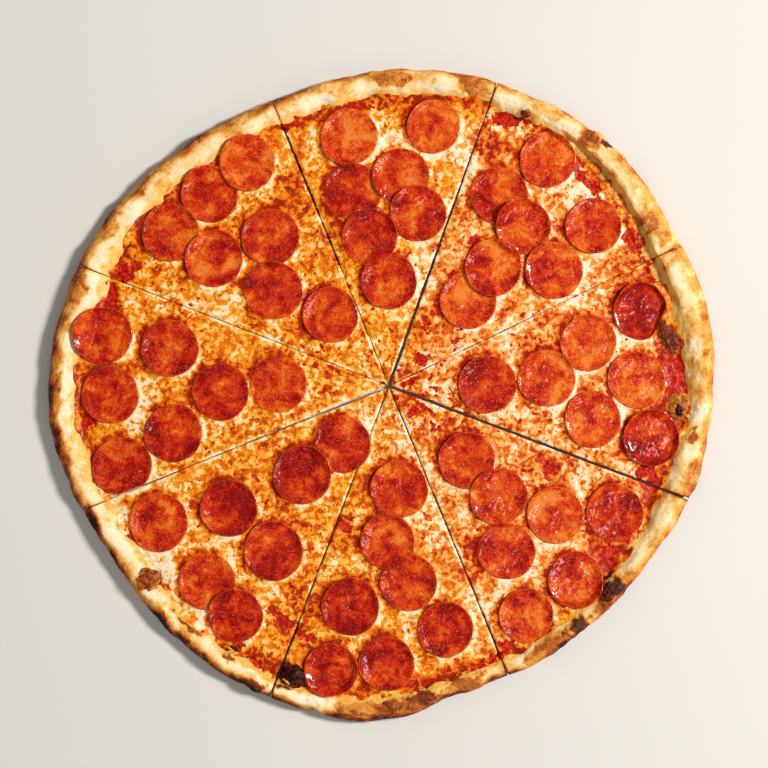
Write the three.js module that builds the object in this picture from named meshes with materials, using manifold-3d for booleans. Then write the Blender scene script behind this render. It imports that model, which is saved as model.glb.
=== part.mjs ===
// Whole thin-crust pepperoni pizza, cut into eight slices that still keep the round shape.
// Each slice has three layers that run through to its cuts: crust, tomato sauce and cheese.
// Pepperoni rounds lie on the cheese, and rounds that lie on one another are one solid.
// Millimetres, +Z up. The origin is on the table, under the middle of the pizza.

import * as THREE from 'three';
import { mergeVertices } from 'three/addons/utils/BufferGeometryUtils.js';
import Module from 'manifold-3d';

const wasm = await Module();
wasm.setup();

// ---------------------------------------------------------------- driving dimensions

// Outer edge and width of the raised rim, one value every 15 degrees, anticlockwise from +X.
const OUTER_RADIUS = [
  225, 229, 227, 231, 227, 225, 220, 214, 213, 217, 222, 224,
  226, 220, 213, 214, 217, 219, 221, 209, 210, 211, 214, 221,
];
const RIM_WIDTH = [
  18, 30, 30, 24, 18, 19, 23, 18, 22, 22, 23, 27,
  22, 21, 22, 19, 19, 16, 19, 15, 15, 17, 18, 26,
];
const RIM_HEIGHT_LEAST = 8.5;
const RIM_HEIGHT_PER_WIDTH = 0.2;

// Section of the rim: from its underside round the outside, then from the crest down inside
// towards the toe. Each place is how far in from the outer edge, as a share of the rim width,
// and how high, as a share of the rim height.
const RIM_OUTSIDE = [[0.22, 0], [0.05, 0.2], [0, 0.45], [0.09, 0.8]];
const RIM_INSIDE = [[0.3, 1], [0.5, 0.93], [0.65, 0.78], [0.8, 0.53]];

const BASE_THICKNESS = 4;
const LAYER_GAP = 0.3;
const SAUCE_THICKNESS = 0.8;
const SAUCE_LIP = 0.12;
const CHEESE_THICKNESS = 2.3;
const CHEESE_EDGE_THICKNESS = 1;
const CHEESE_MARGIN = 2;
const CHEESE_TAPER = 14;
const CHEESE_RINGS = [0.93, 0.77, 0.58, 0.38, 0.19];
const CHEESE_WAVE_HEIGHT = 0.25;
const CHEESE_WAVE_X = 31;
const CHEESE_WAVE_Y = 27;
const CHEESE_WAVE_SLANT = 61;

const HUB = new THREE.Vector2(5, 6.5);
const CUT_LENGTH = 225;
// The cuts that bound the slices, anticlockwise: direction in degrees, gap at the hub, gap at
// the rim. Slice 1 lies between the first two and points right.
const CUTS = [
  [339.3, 2.2, 1.6], [25.7, 0.6, 0.6], [70.3, 2.4, 0.9], [112.2, 0.6, 0.7],
  [158.7, 0.6, 0.8], [202.1, 2, 0.7], [249.1, 0.8, 1.5], [292.4, 1, 1.2],
];
const STEPS_PER_SLICE = 10;
const REACH_TOLERANCE = 0.001;
const MERGE_DISTANCE = 0.0001;

const ROUND_THICKNESS = 1.5;
const ROUND_SIDES = 12;
const ROUND_FLAT = 0.72;
const ROUND_CUP = 1.2;
const ROUND_CLEARANCE = 0.45;

// Pepperoni rounds, slice by slice: centre x, centre y, diameter. Rounds in one inner list
// lie on one another, lowest first, and make one solid.
const ROUNDS = [
  [
    [[139.5, 35.5, 38], [111.5, 11.5, 39]], [[174.5, 57, 37]], [[71.5, 7.5, 39]],
    [[172, 10.5, 38.5]], [[142.5, -16, 38]], [[182, -28.5, 38]],
  ],
  [
    [[79.5, 135, 39], [95.5, 114, 37.5], [58.5, 64.5, 39], [75.5, 86.5, 39], [116.5, 84.5, 39]],
    [[112, 159, 38]], [[143, 114.5, 38]],
  ],
  [
    [
      [-22, 174.5, 39], [-19.5, 137.5, 39], [13, 148, 38.5], [24.5, 123, 38.5],
      [5, 77.5, 38.5], [-8, 107, 38.5],
    ],
    [[35, 181.5, 36.5]],
  ],
  [
    [[-116, 136, 39], [-90.5, 157, 38], [-142.5, 110, 39], [-113, 92.5, 39]],
    [[-75, 107, 39], [-73, 71, 40]], [[-34.5, 54.5, 38]],
  ],
  [
    [[-188, 40.5, 39]], [[-143, 32, 39]], [[-183, 0.5, 39]], [[-108.5, 2.5, 38.5]],
    [[-69.5, 7.5, 38.5]], [[-140.5, -25.5, 39.5]], [[-175, -47.5, 40]],
  ],
  [
    [[-53.5, -53.5, 40], [-26.5, -33, 39]], [[-118, -125.5, 38.5], [-98.5, -148.5, 37]],
    [[-103, -76, 39]], [[-150.5, -85.5, 40]], [[-73, -105, 40.5]],
  ],
  [
    [[12, -63, 39], [4, -98.5, 37.5], [18, -126, 39]], [[-21, -142.5, 39.5]],
    [[43, -158, 38]], [[-34, -185, 36.5]], [[3.5, -181, 37]],
  ],
  [
    [[57.5, -43.5, 38.5], [79, -68, 39], [84.5, -105, 39]], [[117.5, -80.5, 39]],
    [[157.5, -79, 39]], [[131, -124.5, 38]], [[97.5, -148.5, 37]],
  ],
];
// The round nearest the tip of slice 6 overhangs its cut whole; every other one was cut through.
const OVERHANGING_ROUND = ROUNDS[5][0][1];

const SAUCE_BOTTOM = BASE_THICKNESS + LAYER_GAP;
const SAUCE_TOP = SAUCE_BOTTOM + SAUCE_THICKNESS;
const CHEESE_BOTTOM = SAUCE_TOP + LAYER_GAP;

// ---------------------------------------------------------------- colours

const makeCrustMaterial = () => new THREE.MeshStandardMaterial({
  color: '#dba762', roughness: 0.85, metalness: 0,
});
const makeSauceMaterial = () => new THREE.MeshStandardMaterial({
  color: '#b0301a', roughness: 0.45, metalness: 0,
});
const makeCheeseMaterial = () => new THREE.MeshStandardMaterial({
  color: '#f0c878', roughness: 0.5, metalness: 0,
});
const makePepperoniMaterial = () => new THREE.MeshStandardMaterial({
  color: '#c03a1c', roughness: 0.35, metalness: 0,
});

// ---------------------------------------------------------------- outline and heights

// Smooth closed curve through values that stand at even angles round the whole turn.
function valueAround(values, angle) {
  const place = THREE.MathUtils.euclideanModulo(angle / (2 * Math.PI), 1) * values.length;
  const index = Math.floor(place);
  const t = place - index;
  const at = (step) => values[(index + step + values.length) % values.length];
  const slopeStart = (at(1) - at(-1)) / 2;
  const slopeEnd = (at(2) - at(0)) / 2;
  const rise = at(1) - at(0);
  return at(0) + slopeStart * t
    + (3 * rise - 2 * slopeStart - slopeEnd) * t ** 2
    + (slopeStart + slopeEnd - 2 * rise) * t ** 3;
}

const outerRadius = (angle) => valueAround(OUTER_RADIUS, angle);
const rimWidth = (angle) => valueAround(RIM_WIDTH, angle);
const rimHeight = (angle) => RIM_HEIGHT_LEAST + RIM_HEIGHT_PER_WIDTH * rimWidth(angle);
const toeRadius = (angle) => outerRadius(angle) - rimWidth(angle);

// The cheese rises and falls in soft waves.
function cheeseTopAt(x, y) {
  const crossed = Math.sin(x / CHEESE_WAVE_X + 1.2) * Math.cos(y / CHEESE_WAVE_Y - 0.4);
  const slanted = Math.sin((x + 2 * y) / CHEESE_WAVE_SLANT);
  return CHEESE_BOTTOM + CHEESE_THICKNESS + CHEESE_WAVE_HEIGHT * (crossed + slanted);
}

// Height of the rim's inner side, a share of the rim width in from the outer edge.
function slopeHeight(share, angle) {
  const height = rimHeight(angle);
  const places = [...RIM_INSIDE, [1, BASE_THICKNESS / height]];
  const next = places.findIndex(([placeShare]) => placeShare >= share);
  const [startShare, startHeight] = places[next - 1];
  const [endShare, endHeight] = places[next];
  return height * THREE.MathUtils.mapLinear(share, startShare, endShare, startHeight, endHeight);
}

// Height of the surface that a pepperoni round meets: the cheese, or the rim where it is higher.
function surfaceAt(x, y) {
  const angle = Math.atan2(y, x);
  const share = (outerRadius(angle) - Math.hypot(x, y)) / rimWidth(angle);
  if (share > 1) {
    return cheeseTopAt(x, y);
  }
  const slopeTop = slopeHeight(share, angle) + LAYER_GAP + SAUCE_THICKNESS;
  return Math.max(slopeTop, cheeseTopAt(x, y));
}

// ---------------------------------------------------------------- slices

// A straight edge of a slice: the cut's line moved sideways by half its gap.
function cutEdge([degrees, hubGap, rimGap], side) {
  const angle = THREE.MathUtils.degToRad(degrees);
  const along = new THREE.Vector2(Math.cos(angle), Math.sin(angle));
  const across = new THREE.Vector2(-along.y, along.x).multiplyScalar(side / 2);
  const start = HUB.clone().addScaledVector(across, hubGap);
  const end = HUB.clone().addScaledVector(along, CUT_LENGTH).addScaledVector(across, rimGap);
  return { start, along: end.sub(start).normalize() };
}

// The slice's tip, where its two edges meet, and the directions of its edges.
function layOutSlice(index) {
  const first = cutEdge(CUTS[index], 1);
  const last = cutEdge(CUTS[(index + 1) % CUTS.length], -1);
  const between = last.start.clone().sub(first.start);
  const distance = between.cross(last.along) / first.along.cross(last.along);
  const tip = first.start.clone().addScaledVector(first.along, distance);
  const startAngle = Math.atan2(first.along.y, first.along.x);
  const turn = Math.acos(first.along.dot(last.along));
  return { tip, startAngle, turn };
}

// Distance from the tip, along a direction, to where the radius about the origin is reached.
function reach(tip, direction, radiusAt) {
  let near = 0;
  let far = 2 * CUT_LENGTH;
  while (far - near > REACH_TOLERANCE) {
    const middle = (near + far) / 2;
    const point = tip.clone().addScaledVector(direction, middle);
    if (point.length() < radiusAt(point.angle())) {
      near = middle;
    } else {
      far = middle;
    }
  }
  return near;
}

// A ray from the slice's tip, with the distances to the outer edge and to the rim's toe.
function castRay({ tip, startAngle, turn }, step) {
  const heading = startAngle + (turn * step) / STEPS_PER_SLICE;
  const direction = new THREE.Vector2(Math.cos(heading), Math.sin(heading));
  const outer = reach(tip, direction, outerRadius);
  const toe = reach(tip, direction, toeRadius);
  const angle = tip.clone().addScaledVector(direction, outer).angle();
  return { tip, direction, outer, toe, angle };
}

const alongRim = (ray, share) => ray.outer - share * (ray.outer - ray.toe);
const pointOn = (ray, [distance, height]) => {
  const plan = ray.tip.clone().addScaledVector(ray.direction, distance);
  return new THREE.Vector3(plan.x, plan.y, height);
};

// ---------------------------------------------------------------- closed solids

// Solid from a list of triangles, each three points, with shared points merged.
function solidFromTriangles(triangles) {
  const filled = triangles.filter(([a, b, c]) => !a.equals(b) && !b.equals(c) && !c.equals(a));
  const geometry = new THREE.BufferGeometry().setFromPoints(filled.flat());
  return mergeVertices(geometry, MERGE_DISTANCE);
}

// Sweeps a closed section from one cut face of a slice to the other, about its tip.
// Each section lists distance and height: along the bottom outwards, then back over the top.
function wedgeSolid(slice, sectionOf) {
  const triangles = [];
  const sections = [];
  for (let step = 0; step <= STEPS_PER_SLICE; step += 1) {
    const ray = castRay(slice, step);
    const outline = sectionOf(ray);
    sections.push({ outline, points: outline.map((place) => pointOn(ray, place)) });
  }
  for (let step = 0; step < STEPS_PER_SLICE; step += 1) {
    const here = sections[step].points;
    const next = sections[step + 1].points;
    for (let k = 0; k < here.length - 1; k += 1) {
      triangles.push([here[k], next[k], here[k + 1]]);
      triangles.push([next[k], next[k + 1], here[k + 1]]);
    }
  }
  const addCutFace = ({ outline, points }, flipped) => {
    const contour = outline.map(([distance, height]) => new THREE.Vector2(distance, height));
    for (const [a, b, c] of THREE.ShapeUtils.triangulateShape(contour, [])) {
      const corners = [points[a], points[b], points[c]];
      triangles.push(flipped ? corners.reverse() : corners);
    }
  };
  addCutFace(sections[0], false);
  addCutFace(sections.at(-1), true);
  return solidFromTriangles(triangles);
}

// ---------------------------------------------------------------- crust, sauce and cheese

function makeCrust(slice) {
  return wedgeSolid(slice, (ray) => {
    const rim = [...RIM_OUTSIDE, ...RIM_INSIDE].map(([share, height]) => [
      alongRim(ray, share), height * rimHeight(ray.angle),
    ]);
    return [[0, 0], ...rim, [ray.toe, BASE_THICKNESS], [0, BASE_THICKNESS]];
  });
}

function makeSauce(slice) {
  return wedgeSolid(slice, (ray) => {
    const lip = alongRim(ray, 1 - SAUCE_LIP);
    const lipBottom = slopeHeight(1 - SAUCE_LIP, ray.angle) + LAYER_GAP;
    return [
      [0, SAUCE_BOTTOM], [ray.toe, SAUCE_BOTTOM], [lip, lipBottom],
      [lip, lipBottom + SAUCE_THICKNESS], [ray.toe, SAUCE_TOP], [0, SAUCE_TOP],
    ];
  });
}

function makeCheese(slice) {
  return wedgeSolid(slice, (ray) => {
    const edge = ray.toe - CHEESE_MARGIN;
    const edgeTop = CHEESE_BOTTOM + CHEESE_EDGE_THICKNESS;
    const topAt = (distance) => {
      const { x, y } = pointOn(ray, [distance, 0]);
      const taper = THREE.MathUtils.smoothstep(edge - distance, 0, CHEESE_TAPER);
      return THREE.MathUtils.lerp(edgeTop, cheeseTopAt(x, y), taper);
    };
    const rings = CHEESE_RINGS.map((share) => [share * edge, topAt(share * edge)]);
    return [[0, CHEESE_BOTTOM], [edge, CHEESE_BOTTOM], [edge, edgeTop], ...rings, [0, topAt(0)]];
  });
}

// ---------------------------------------------------------------- pepperoni

// How far a round's surface curls up at a distance from its centre, as a share of its radius.
const curlAt = (share) => ROUND_CUP * THREE.MathUtils.clamp(
  (share - ROUND_FLAT) / (1 - ROUND_FLAT), 0, 1,
);

// How far out a place lies on a round, as a share of the round's radius.
const shareOf = ([centreX, centreY, diameter], x, y) => (
  (2 * Math.hypot(x - centreX, y - centreY)) / diameter
);

const undersideAt = (round, x, y) => (
  surfaceAt(x, y) + ROUND_CLEARANCE + curlAt(shareOf(round, x, y))
);

// Top of a round, raised where it lies over the rounds below it.
function topAt(round, below, x, y) {
  let top = undersideAt(round, x, y) + ROUND_THICKNESS;
  below.forEach((lower, index) => {
    if (shareOf(lower, x, y) < 1) {
      top = Math.max(top, topAt(lower, below.slice(0, index), x, y) + ROUND_THICKNESS);
    }
  });
  return top;
}

// One round: a flat disc whose edge curls up, draped over what it lies on.
function makeRound(round, below) {
  const [centreX, centreY, diameter] = round;
  const ring = (share, heightAt) => Array.from({ length: ROUND_SIDES }, (_, side) => {
    const angle = (2 * Math.PI * side) / ROUND_SIDES;
    const x = centreX + (share * diameter * Math.cos(angle)) / 2;
    const y = centreY + (share * diameter * Math.sin(angle)) / 2;
    return new THREE.Vector3(x, y, heightAt(x, y));
  });
  const underside = (x, y) => undersideAt(round, x, y);
  const top = (x, y) => topAt(round, below, x, y);
  const rings = [
    ring(0, underside), ring(ROUND_FLAT, underside), ring(1, underside),
    ring(1, top), ring(ROUND_FLAT, top), ring(0, top),
  ];
  const triangles = [];
  for (let k = 0; k < rings.length - 1; k += 1) {
    for (let side = 0; side < ROUND_SIDES; side += 1) {
      const after = (side + 1) % ROUND_SIDES;
      triangles.push([rings[k][side], rings[k][after], rings[k + 1][side]]);
      triangles.push([rings[k][after], rings[k + 1][after], rings[k + 1][side]]);
    }
  }
  return solidFromTriangles(triangles);
}

function toManifold(geometry) {
  return new wasm.Manifold(new wasm.Mesh({
    numProp: 3,
    vertProperties: Float32Array.from(geometry.getAttribute('position').array),
    triVerts: Uint32Array.from(geometry.getIndex().array),
  }));
}

function fromManifold(solid) {
  const { vertProperties, triVerts } = solid.getMesh();
  const geometry = new THREE.BufferGeometry();
  geometry.setAttribute('position', new THREE.BufferAttribute(vertProperties, 3));
  geometry.setIndex(new THREE.BufferAttribute(triVerts, 1));
  return geometry;
}

// Upright prism over a slice, which trims the rounds that its cuts pass through.
function makeSlicePrism({ tip, startAngle, turn }) {
  const corner = (angle) => tip.clone().add(
    new THREE.Vector2(Math.cos(angle), Math.sin(angle)).multiplyScalar(2 * CUT_LENGTH),
  );
  const shape = new THREE.Shape([tip, corner(startAngle), corner(startAngle + turn)]);
  const prism = new THREE.ExtrudeGeometry(shape, { depth: CUT_LENGTH, bevelEnabled: false });
  prism.deleteAttribute('normal');
  prism.deleteAttribute('uv');
  return toManifold(mergeVertices(prism));
}

function makePepperoni(rounds, prism) {
  const solids = rounds.map((round, index) => {
    const solid = toManifold(makeRound(round, rounds.slice(0, index)));
    return round === OVERHANGING_ROUND ? solid : solid.intersect(prism);
  });
  return fromManifold(solids.reduce((joined, solid) => joined.add(solid)));
}

// ---------------------------------------------------------------- assembly

function addPiece(group, name, geometry, material) {
  const mesh = new THREE.Mesh(geometry, material);
  mesh.name = name;
  group.add(mesh);
}

const pizza = new THREE.Group();
CUTS.forEach((_, index) => {
  const slice = layOutSlice(index);
  const prism = makeSlicePrism(slice);
  const name = `slice_${index + 1}`;
  addPiece(pizza, `${name}_crust`, makeCrust(slice), makeCrustMaterial());
  addPiece(pizza, `${name}_sauce`, makeSauce(slice), makeSauceMaterial());
  addPiece(pizza, `${name}_cheese`, makeCheese(slice), makeCheeseMaterial());
  ROUNDS[index].forEach((rounds, place) => {
    const pepperoni = makePepperoni(rounds, prism);
    addPiece(pizza, `${name}_pepperoni_${place + 1}`, pepperoni, makePepperoniMaterial());
  });
});

export default pizza;
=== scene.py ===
"""Whole thin-crust pepperoni pizza in eight slices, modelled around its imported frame."""

import logging
import math
from dataclasses import dataclass, field
from enum import Enum
from typing import Any, Callable

import bpy
import numpy as np
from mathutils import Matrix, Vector
from mathutils.bvhtree import BVHTree


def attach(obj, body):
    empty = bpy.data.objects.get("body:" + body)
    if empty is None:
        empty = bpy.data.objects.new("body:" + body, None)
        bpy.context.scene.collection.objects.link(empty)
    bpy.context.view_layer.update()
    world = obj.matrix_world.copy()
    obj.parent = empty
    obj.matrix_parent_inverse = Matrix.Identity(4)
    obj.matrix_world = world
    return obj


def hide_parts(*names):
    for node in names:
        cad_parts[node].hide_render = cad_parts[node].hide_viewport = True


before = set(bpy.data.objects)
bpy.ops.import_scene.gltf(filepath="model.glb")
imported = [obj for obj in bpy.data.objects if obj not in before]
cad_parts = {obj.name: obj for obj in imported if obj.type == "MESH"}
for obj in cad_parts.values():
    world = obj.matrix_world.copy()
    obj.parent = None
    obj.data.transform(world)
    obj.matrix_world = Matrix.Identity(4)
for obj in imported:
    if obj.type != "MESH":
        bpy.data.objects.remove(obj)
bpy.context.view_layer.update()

LOG = logging.getLogger("pizza")
MM = 0.001
TURN = 2 * math.pi
SEED = 41
SLICES = 8
# Radii of the circles along which the rim and the edges of the toppings waver.
RIM_RADIUS = 220
EDGE_RADIUS = 205
DOWN = Vector((0, 0, -1))
Array = np.ndarray


# ------------------------------------------------------------------ numbers and noise

def smoothstep(low: float, high: float, value: Array) -> Array:
    """Rise smoothly from 0 at low to 1 at high, which may be below low."""
    t = np.clip((value - low) / (high - low), 0.0, 1.0)
    return t * t * (3.0 - 2.0 * t)


def lattice(ix: Array, iy: Array, seed: int) -> Array:
    """Return a repeatable random number from 0 to 1 for each lattice point.

    Args:
        ix: Lattice columns.
        iy: Lattice rows.
        seed: Which field of numbers to use.

    Returns:
        One number for each point.
    """
    mixed = ix.astype(np.int64) * 374761393 + iy.astype(np.int64) * 668265263 + seed * 974711
    mixed = ((mixed ^ (mixed >> 13)) * 1274126177) & 0xFFFFFFFF
    mixed ^= mixed >> 16
    return (mixed & 0xFFFF) / 65535.0


def ripple(x: Array, y: Array, size: float, seed: int, octaves: int = 1) -> Array:
    """Smooth uneven waves over a plane.

    Args:
        x, y: Places along X and Y, in millimetres.
        size: Width of the largest waves, in millimetres.
        seed: Which pattern to use.
        octaves: How many ever finer layers are added up.

    Returns:
        Heights from about -1 to 1.
    """
    total = np.zeros(np.broadcast(x, y).shape)
    weight = 1.0
    for octave in range(octaves):
        turn = 0.7 + 1.1 * octave
        u = (x * math.cos(turn) - y * math.sin(turn)) / size + 31.7 * octave
        v = (x * math.sin(turn) + y * math.cos(turn)) / size - 17.3 * octave
        ix, iy = np.floor(u), np.floor(v)
        fx, fy = u - ix, v - iy
        sx, sy = smoothstep(0, 1, fx), smoothstep(0, 1, fy)
        corners = []
        for dx, dy in ((0, 0), (1, 0), (0, 1), (1, 1)):
            angle = TURN * lattice(ix + dx, iy + dy, seed + 7 * octave)
            corners.append(np.cos(angle) * (fx - dx) + np.sin(angle) * (fy - dy))
        low = corners[0] * (1 - sx) + corners[1] * sx
        high = corners[2] * (1 - sx) + corners[3] * sx
        total += 1.5 * weight * (low * (1 - sy) + high * sy)
        weight *= 0.5
        size *= 0.5
    return total


def ring_ripple(angle: Array, radius: float, size: float, seed: int, octaves: int = 1) -> Array:
    """Smooth uneven waves along a circle about the pizza's middle."""
    return ripple(radius * np.cos(angle), radius * np.sin(angle), size, seed, octaves)


@dataclass(frozen=True)
class Mark:
    """A soft-edged oval spot on the pizza, seen from above.

    Attributes:
        x: Centre along X, in millimetres.
        y: Centre along Y, in millimetres.
        long: Half length, in millimetres.
        wide: Half width, in millimetres.
        turn: Direction of its length, in degrees.
        depth: How strong the spot is.
    """

    x: float
    y: float
    long: float
    wide: float
    turn: float = 0.0
    depth: float = 1.0

    def cover(self, x: Array, y: Array, rough: float = 0.25) -> Array:
        """Return how much of the mark lies at each place, from 0 to its depth.

        Args:
            x, y: Places along X and Y, in millimetres.
            rough: How ragged its edge is.

        Returns:
            The mark's strength.
        """
        angle = math.radians(self.turn)
        along = (x - self.x) * math.cos(angle) + (y - self.y) * math.sin(angle)
        across = (y - self.y) * math.cos(angle) - (x - self.x) * math.sin(angle)
        reach = np.hypot(along / self.long, across / self.wide)
        reach = reach + rough * ripple(x, y, 0.8 * self.wide + 1.5, 63, 3)
        return self.depth * smoothstep(1.15, 0.6, reach)


def cover_of(marks: tuple[Mark, ...], x: Array, y: Array, rough: float = 0.25) -> Array:
    """Return the strongest of several marks at each place.

    Args:
        marks: The marks.
        x, y: Places along X and Y, in millimetres.
        rough: How ragged their edges are.

    Returns:
        The strength of the strongest mark.
    """
    strongest = np.zeros(np.broadcast(x, y).shape)
    for mark in marks:
        strongest = np.maximum(strongest, mark.cover(x, y, rough))
    return strongest


def marks_of(*rows: tuple[float, ...]) -> tuple[Mark, ...]:
    """Make marks from rows of their fields."""
    return tuple(Mark(*row) for row in rows)


# ------------------------------------------------------------------ what the photo shows

# Raised bubbles of dough: depth is the height in millimetres.
BLISTERS = marks_of(
    (-60, -190, 9.5, 8.5, 20, 4), (-158, -124, 8, 7, 30, 1.6), (-100, -172, 7, 6, 60, 1.4),
    (-86, -195, 9, 5, -35, 1.3), (31, -201, 6, 4, 10), (55, -189, 8, 5, 20, 1.2),
    (146, 173, 6, 5, -40, 1.4), (200, -8, 8, 6, 60, 2.6), (156, -128, 10, 8, 50, 1.6),
    (7, 215, 6, 4, 0, 0.8), (128, -157, 6, 4, 50), (97, 192, 4, 3, 20, 0.8),
)
# Scorched dough and cheese, from brown at a depth of 0.5 to black at 1.
SCORCHES = marks_of(
    (-60, -190, 10.5, 9.5, 20), (-159, -124, 9.5, 7.5, 30, 0.62), (-154, -124, 4.5, 4, 30, 0.85),
    (-102, -174, 7, 6, 60, 0.72), (-86, -196, 11, 5.5, -35, 0.74), (27, -203, 16, 5, 8, 0.74),
    (57, -192, 14, 5, 22, 0.56), (200, -8, 10, 6, 75), (209, -27, 7, 4, 80, 0.6),
    (193, 37, 13, 4.5, -55, 0.95), (188, 48, 6, 5, 40, 0.8), (156, -128, 11, 9, 50, 0.84),
    (151, -139, 8, 6, 50, 0.66), (133, -156, 12, 7, 45, 0.8), (98, 190, 4, 3, 20, 0.55),
    (152, 169, 6, 3.5, -40, 0.85), (7, 216, 9, 5, 0, 0.4), (174, -118, 5, 3, 30, 0.4),
)
# Toasted dough, a soft tan to brown.
TOASTS = marks_of(
    (186, 113, 15, 12, -60, 0.4), (63, 207, 14, 7, -15, 0.45), (-185, 112, 12, 9, 60, 0.45),
    (-204, 71, 14, 7, 70, 0.5), (-214, -57, 14, 7, 100, 0.6), (222, 38, 16, 9, 80, 0.4),
    (141, 172, 11, 8, -40, 0.5), (7, 214, 16, 7, 0, 0.5), (-128, -150, 22, 8, -45, 0.55),
    (20, -207, 34, 6, 5, 0.55), (158, -131, 24, 11, 52, 0.5), (112, -170, 22, 9, 38, 0.46),
    (-220, 5, 26, 6, 90, 0.5), (-110, 188, 14, 6, 30, 0.35), (0, -208, 46, 11, 0, 0.46),
    (64, -198, 30, 9, 18, 0.46), (-40, 207, 20, 5, 5, 0.3), (214, -60, 16, 6, 75, 0.3),
)
# Bare tomato sauce that the cheese leaves open.
SAUCE_SPOTS = marks_of(
    (-173, 85, 9, 7, 40), (-183, 66, 6, 9, 10), (-198, -18, 5, 7), (-60, 183, 8, 5, 30, 0.8),
    (-15, 195, 18, 2.2, -4, 0.7), (85, 186, 14, 4.5, -10), (132, 154, 10, 6, -50),
    (143, 141, 10, 5, -50), (167, 106, 9, 5, -60), (184, 84, 10, 5, -52), (177, 97, 9, 4, -55),
    (196, 16, 11, 15, 10, 1.25), (179, -52, 9, 7, 10), (112, -50, 7, 5, 60, 0.9),
    (152, -107, 9, 6, 50), (84, -169, 7, 4, 30), (66, -182, 8, 3, 20, 0.8), (-67, -152, 10, 4, -35),
    (-50, -163, 9, 3, -20, 0.8), (-86, -180, 8, 3, -50, 0.8), (-97, -167, 7, 4, -30, 0.9),
    (-23, -88, 6, 5, 80), (27, 23, 5, 7, 60), (19, 9, 6, 3, 40), (23, -10, 4, 3), (10, -1, 3, 2),
    (-52, 46, 3, 3, 0, 0.7), (36, -22, 5, 3, -50, 0.8), (-128, -74, 5, 3, 60, 0.7),
    (-52, 33, 4, 2, -20, 0.6), (170, -30, 5, 3, 60, 0.6), (166, -90, 13, 7, 55),
    (183, -60, 7, 4, 60, 0.9), (78, -177, 13, 3.5, 22, 0.9), (18, -194, 20, 2, 4, 0.8),
    (112, -158, 7, 4, 40, 0.8), (199, -35, 5, 8, 0, 0.9), (61, 105, 4, 5, 70, 0.8),
    (70, 60, 9, 3, 70, 0.6), (38, 60, 4, 4, 60, 0.9), (50, 37, 4, 3, 30, 0.7),
    (30, 50, 3, 4, 70, 0.8), (-6, -60, 5, 3, 70, 0.7),
)
# Cheese that is richer in oil and sauce, from orange to red.
RICH = marks_of(
    (-62, 125, 34, 10, 90, 0.8), (-45, 50, 20, 13, -40, 0.8), (-62, -86, 20, 12, 70, 0.5),
    (-50, -142, 13, 11, 20, 0.8), (-62, -160, 12, 8, -30, 0.7), (-24, -92, 14, 10, 80, 0.8),
    (16, 14, 20, 7, 75, 0.3), (34, 58, 10, 6, 60, 0.5), (58, -26, 14, 7, -30, 0.3),
    (62, 46, 16, 9, 40, 0.5), (118, 112, 12, 14, 20, 0.5), (62, -112, 16, 14, 90, 0.9),
    (112, -50, 20, 9, -20, 0.9), (82, 165, 26, 14, -50, 0.8), (-32, 122, 14, 8, 80, 0.8),
    (163, 82, 26, 9, -55, 0.5), (150, -108, 30, 14, 50, 1.5), (118, -118, 14, 10, 50),
    (168, -38, 14, 8, -20, 0.4), (112, 62, 16, 8, -40, 0.4), (20, -192, 40, 6, 5, 0.7),
    (140, -90, 10, 9, 0, 0.7), (180, -70, 9, 12, 30, 0.9), (192, -20, 8, 30, 5, 1.5),
    (190, 30, 8, 22, 10, 1.5), (-84, 52, 14, 8, 0, 0.6), (118, -135, 16, 10, 40),
    (92, 74, 20, 12, 40, 0.5), (-160, 72, 12, 12, 0, 0.3), (-168, 22, 10, 8, 0, 0.2),
    (-122, -10, 14, 8, 30, 0.4), (-78, -178, 16, 6, -40, 0.6), (-8, 128, 10, 9, 0, 0.7),
    (104, 28, 12, 7, 60, 0.6), (100, -48, 18, 10, -20, 0.6), (94, -25, 14, 7, -20, 0.4),
    (25, -30, 9, 9, 0, 0.4),
)
# Cheese that is paler and drier.
MILD = marks_of(
    (-110, 62, 22, 12, 10, 0.6), (-45, 168, 9, 16, 10, 0.7), (56, 152, 9, 28, 10, 0.8),
    (26, 88, 9, 18, 10, 0.6), (-20, 160, 12, 8, 0, 0.7), (92, 48, 16, 10, 20, 0.3),
    (-18, -22, 16, 12, 40, 0.7), (-128, -112, 14, 12, 0, 0.7), (36, -92, 9, 20, 0, 0.6),
    (22, -152, 9, 16, 10, 0.8), (64, -140, 8, 14, 0, 0.8), (138, -58, 12, 7, 10, 0.4),
    (40, 4, 14, 8, 0, 0.9), (112, -105, 10, 9, 0, 0.4), (124, -8, 9, 16, 0, 0.9),
    (-4, 190, 14, 6, 0, 0.4), (-164, -18, 14, 30, 10, 1.1), (-150, -58, 12, 8, 0, 0.4),
    (144, 124, 34, 11, -50, 1.4), (160, 32, 10, 14, 0, 1.1), (160, -8, 10, 12),
    (60, 100, 10, 10, 0, 0.5), (138, 62, 12, 8, -30, 0.5), (-100, -20, 10, 8, 0, 0.4),
    (84, -130, 8, 8, 0, 0.7), (134, 82, 8, 12, 0, 0.4), (-182, -84, 16, 14, 40, 1.1),
    (-164, -112, 18, 13, 60, 1.1), (-136, -140, 14, 10, -50, 0.8), (-196, -62, 8, 12, 0, 0.8),
    (8, 168, 34, 13, 0, 1.3), (-165, -10, 10, 10, 0, 0.6), (-110, -112, 14, 10, 0, 0.5),
    (92, 180, 20, 8, -20, 0.8), (120, 166, 14, 8, -40, 0.8), (24, -34, 12, 8, -40, 0.5),
    (-132, -132, 40, 12, -45, 1.6), (-168, -86, 14, 14, 0, 1.3), (-110, -100, 16, 12, 30, 0.7),
    (152, 6, 7, 9, 0, 0.8),
)
# Stretch of the rim, in degrees, where its inner side is a steep wall above a low ledge.
LEDGE_START = 18
LEDGE_END = 52


class Lie(Enum):
    """How a pepperoni round lies, with how far its edge curls up, in millimetres."""

    FLAT = 0.35
    CUPPED = 0.95
    DEEP = 1.9


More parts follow.
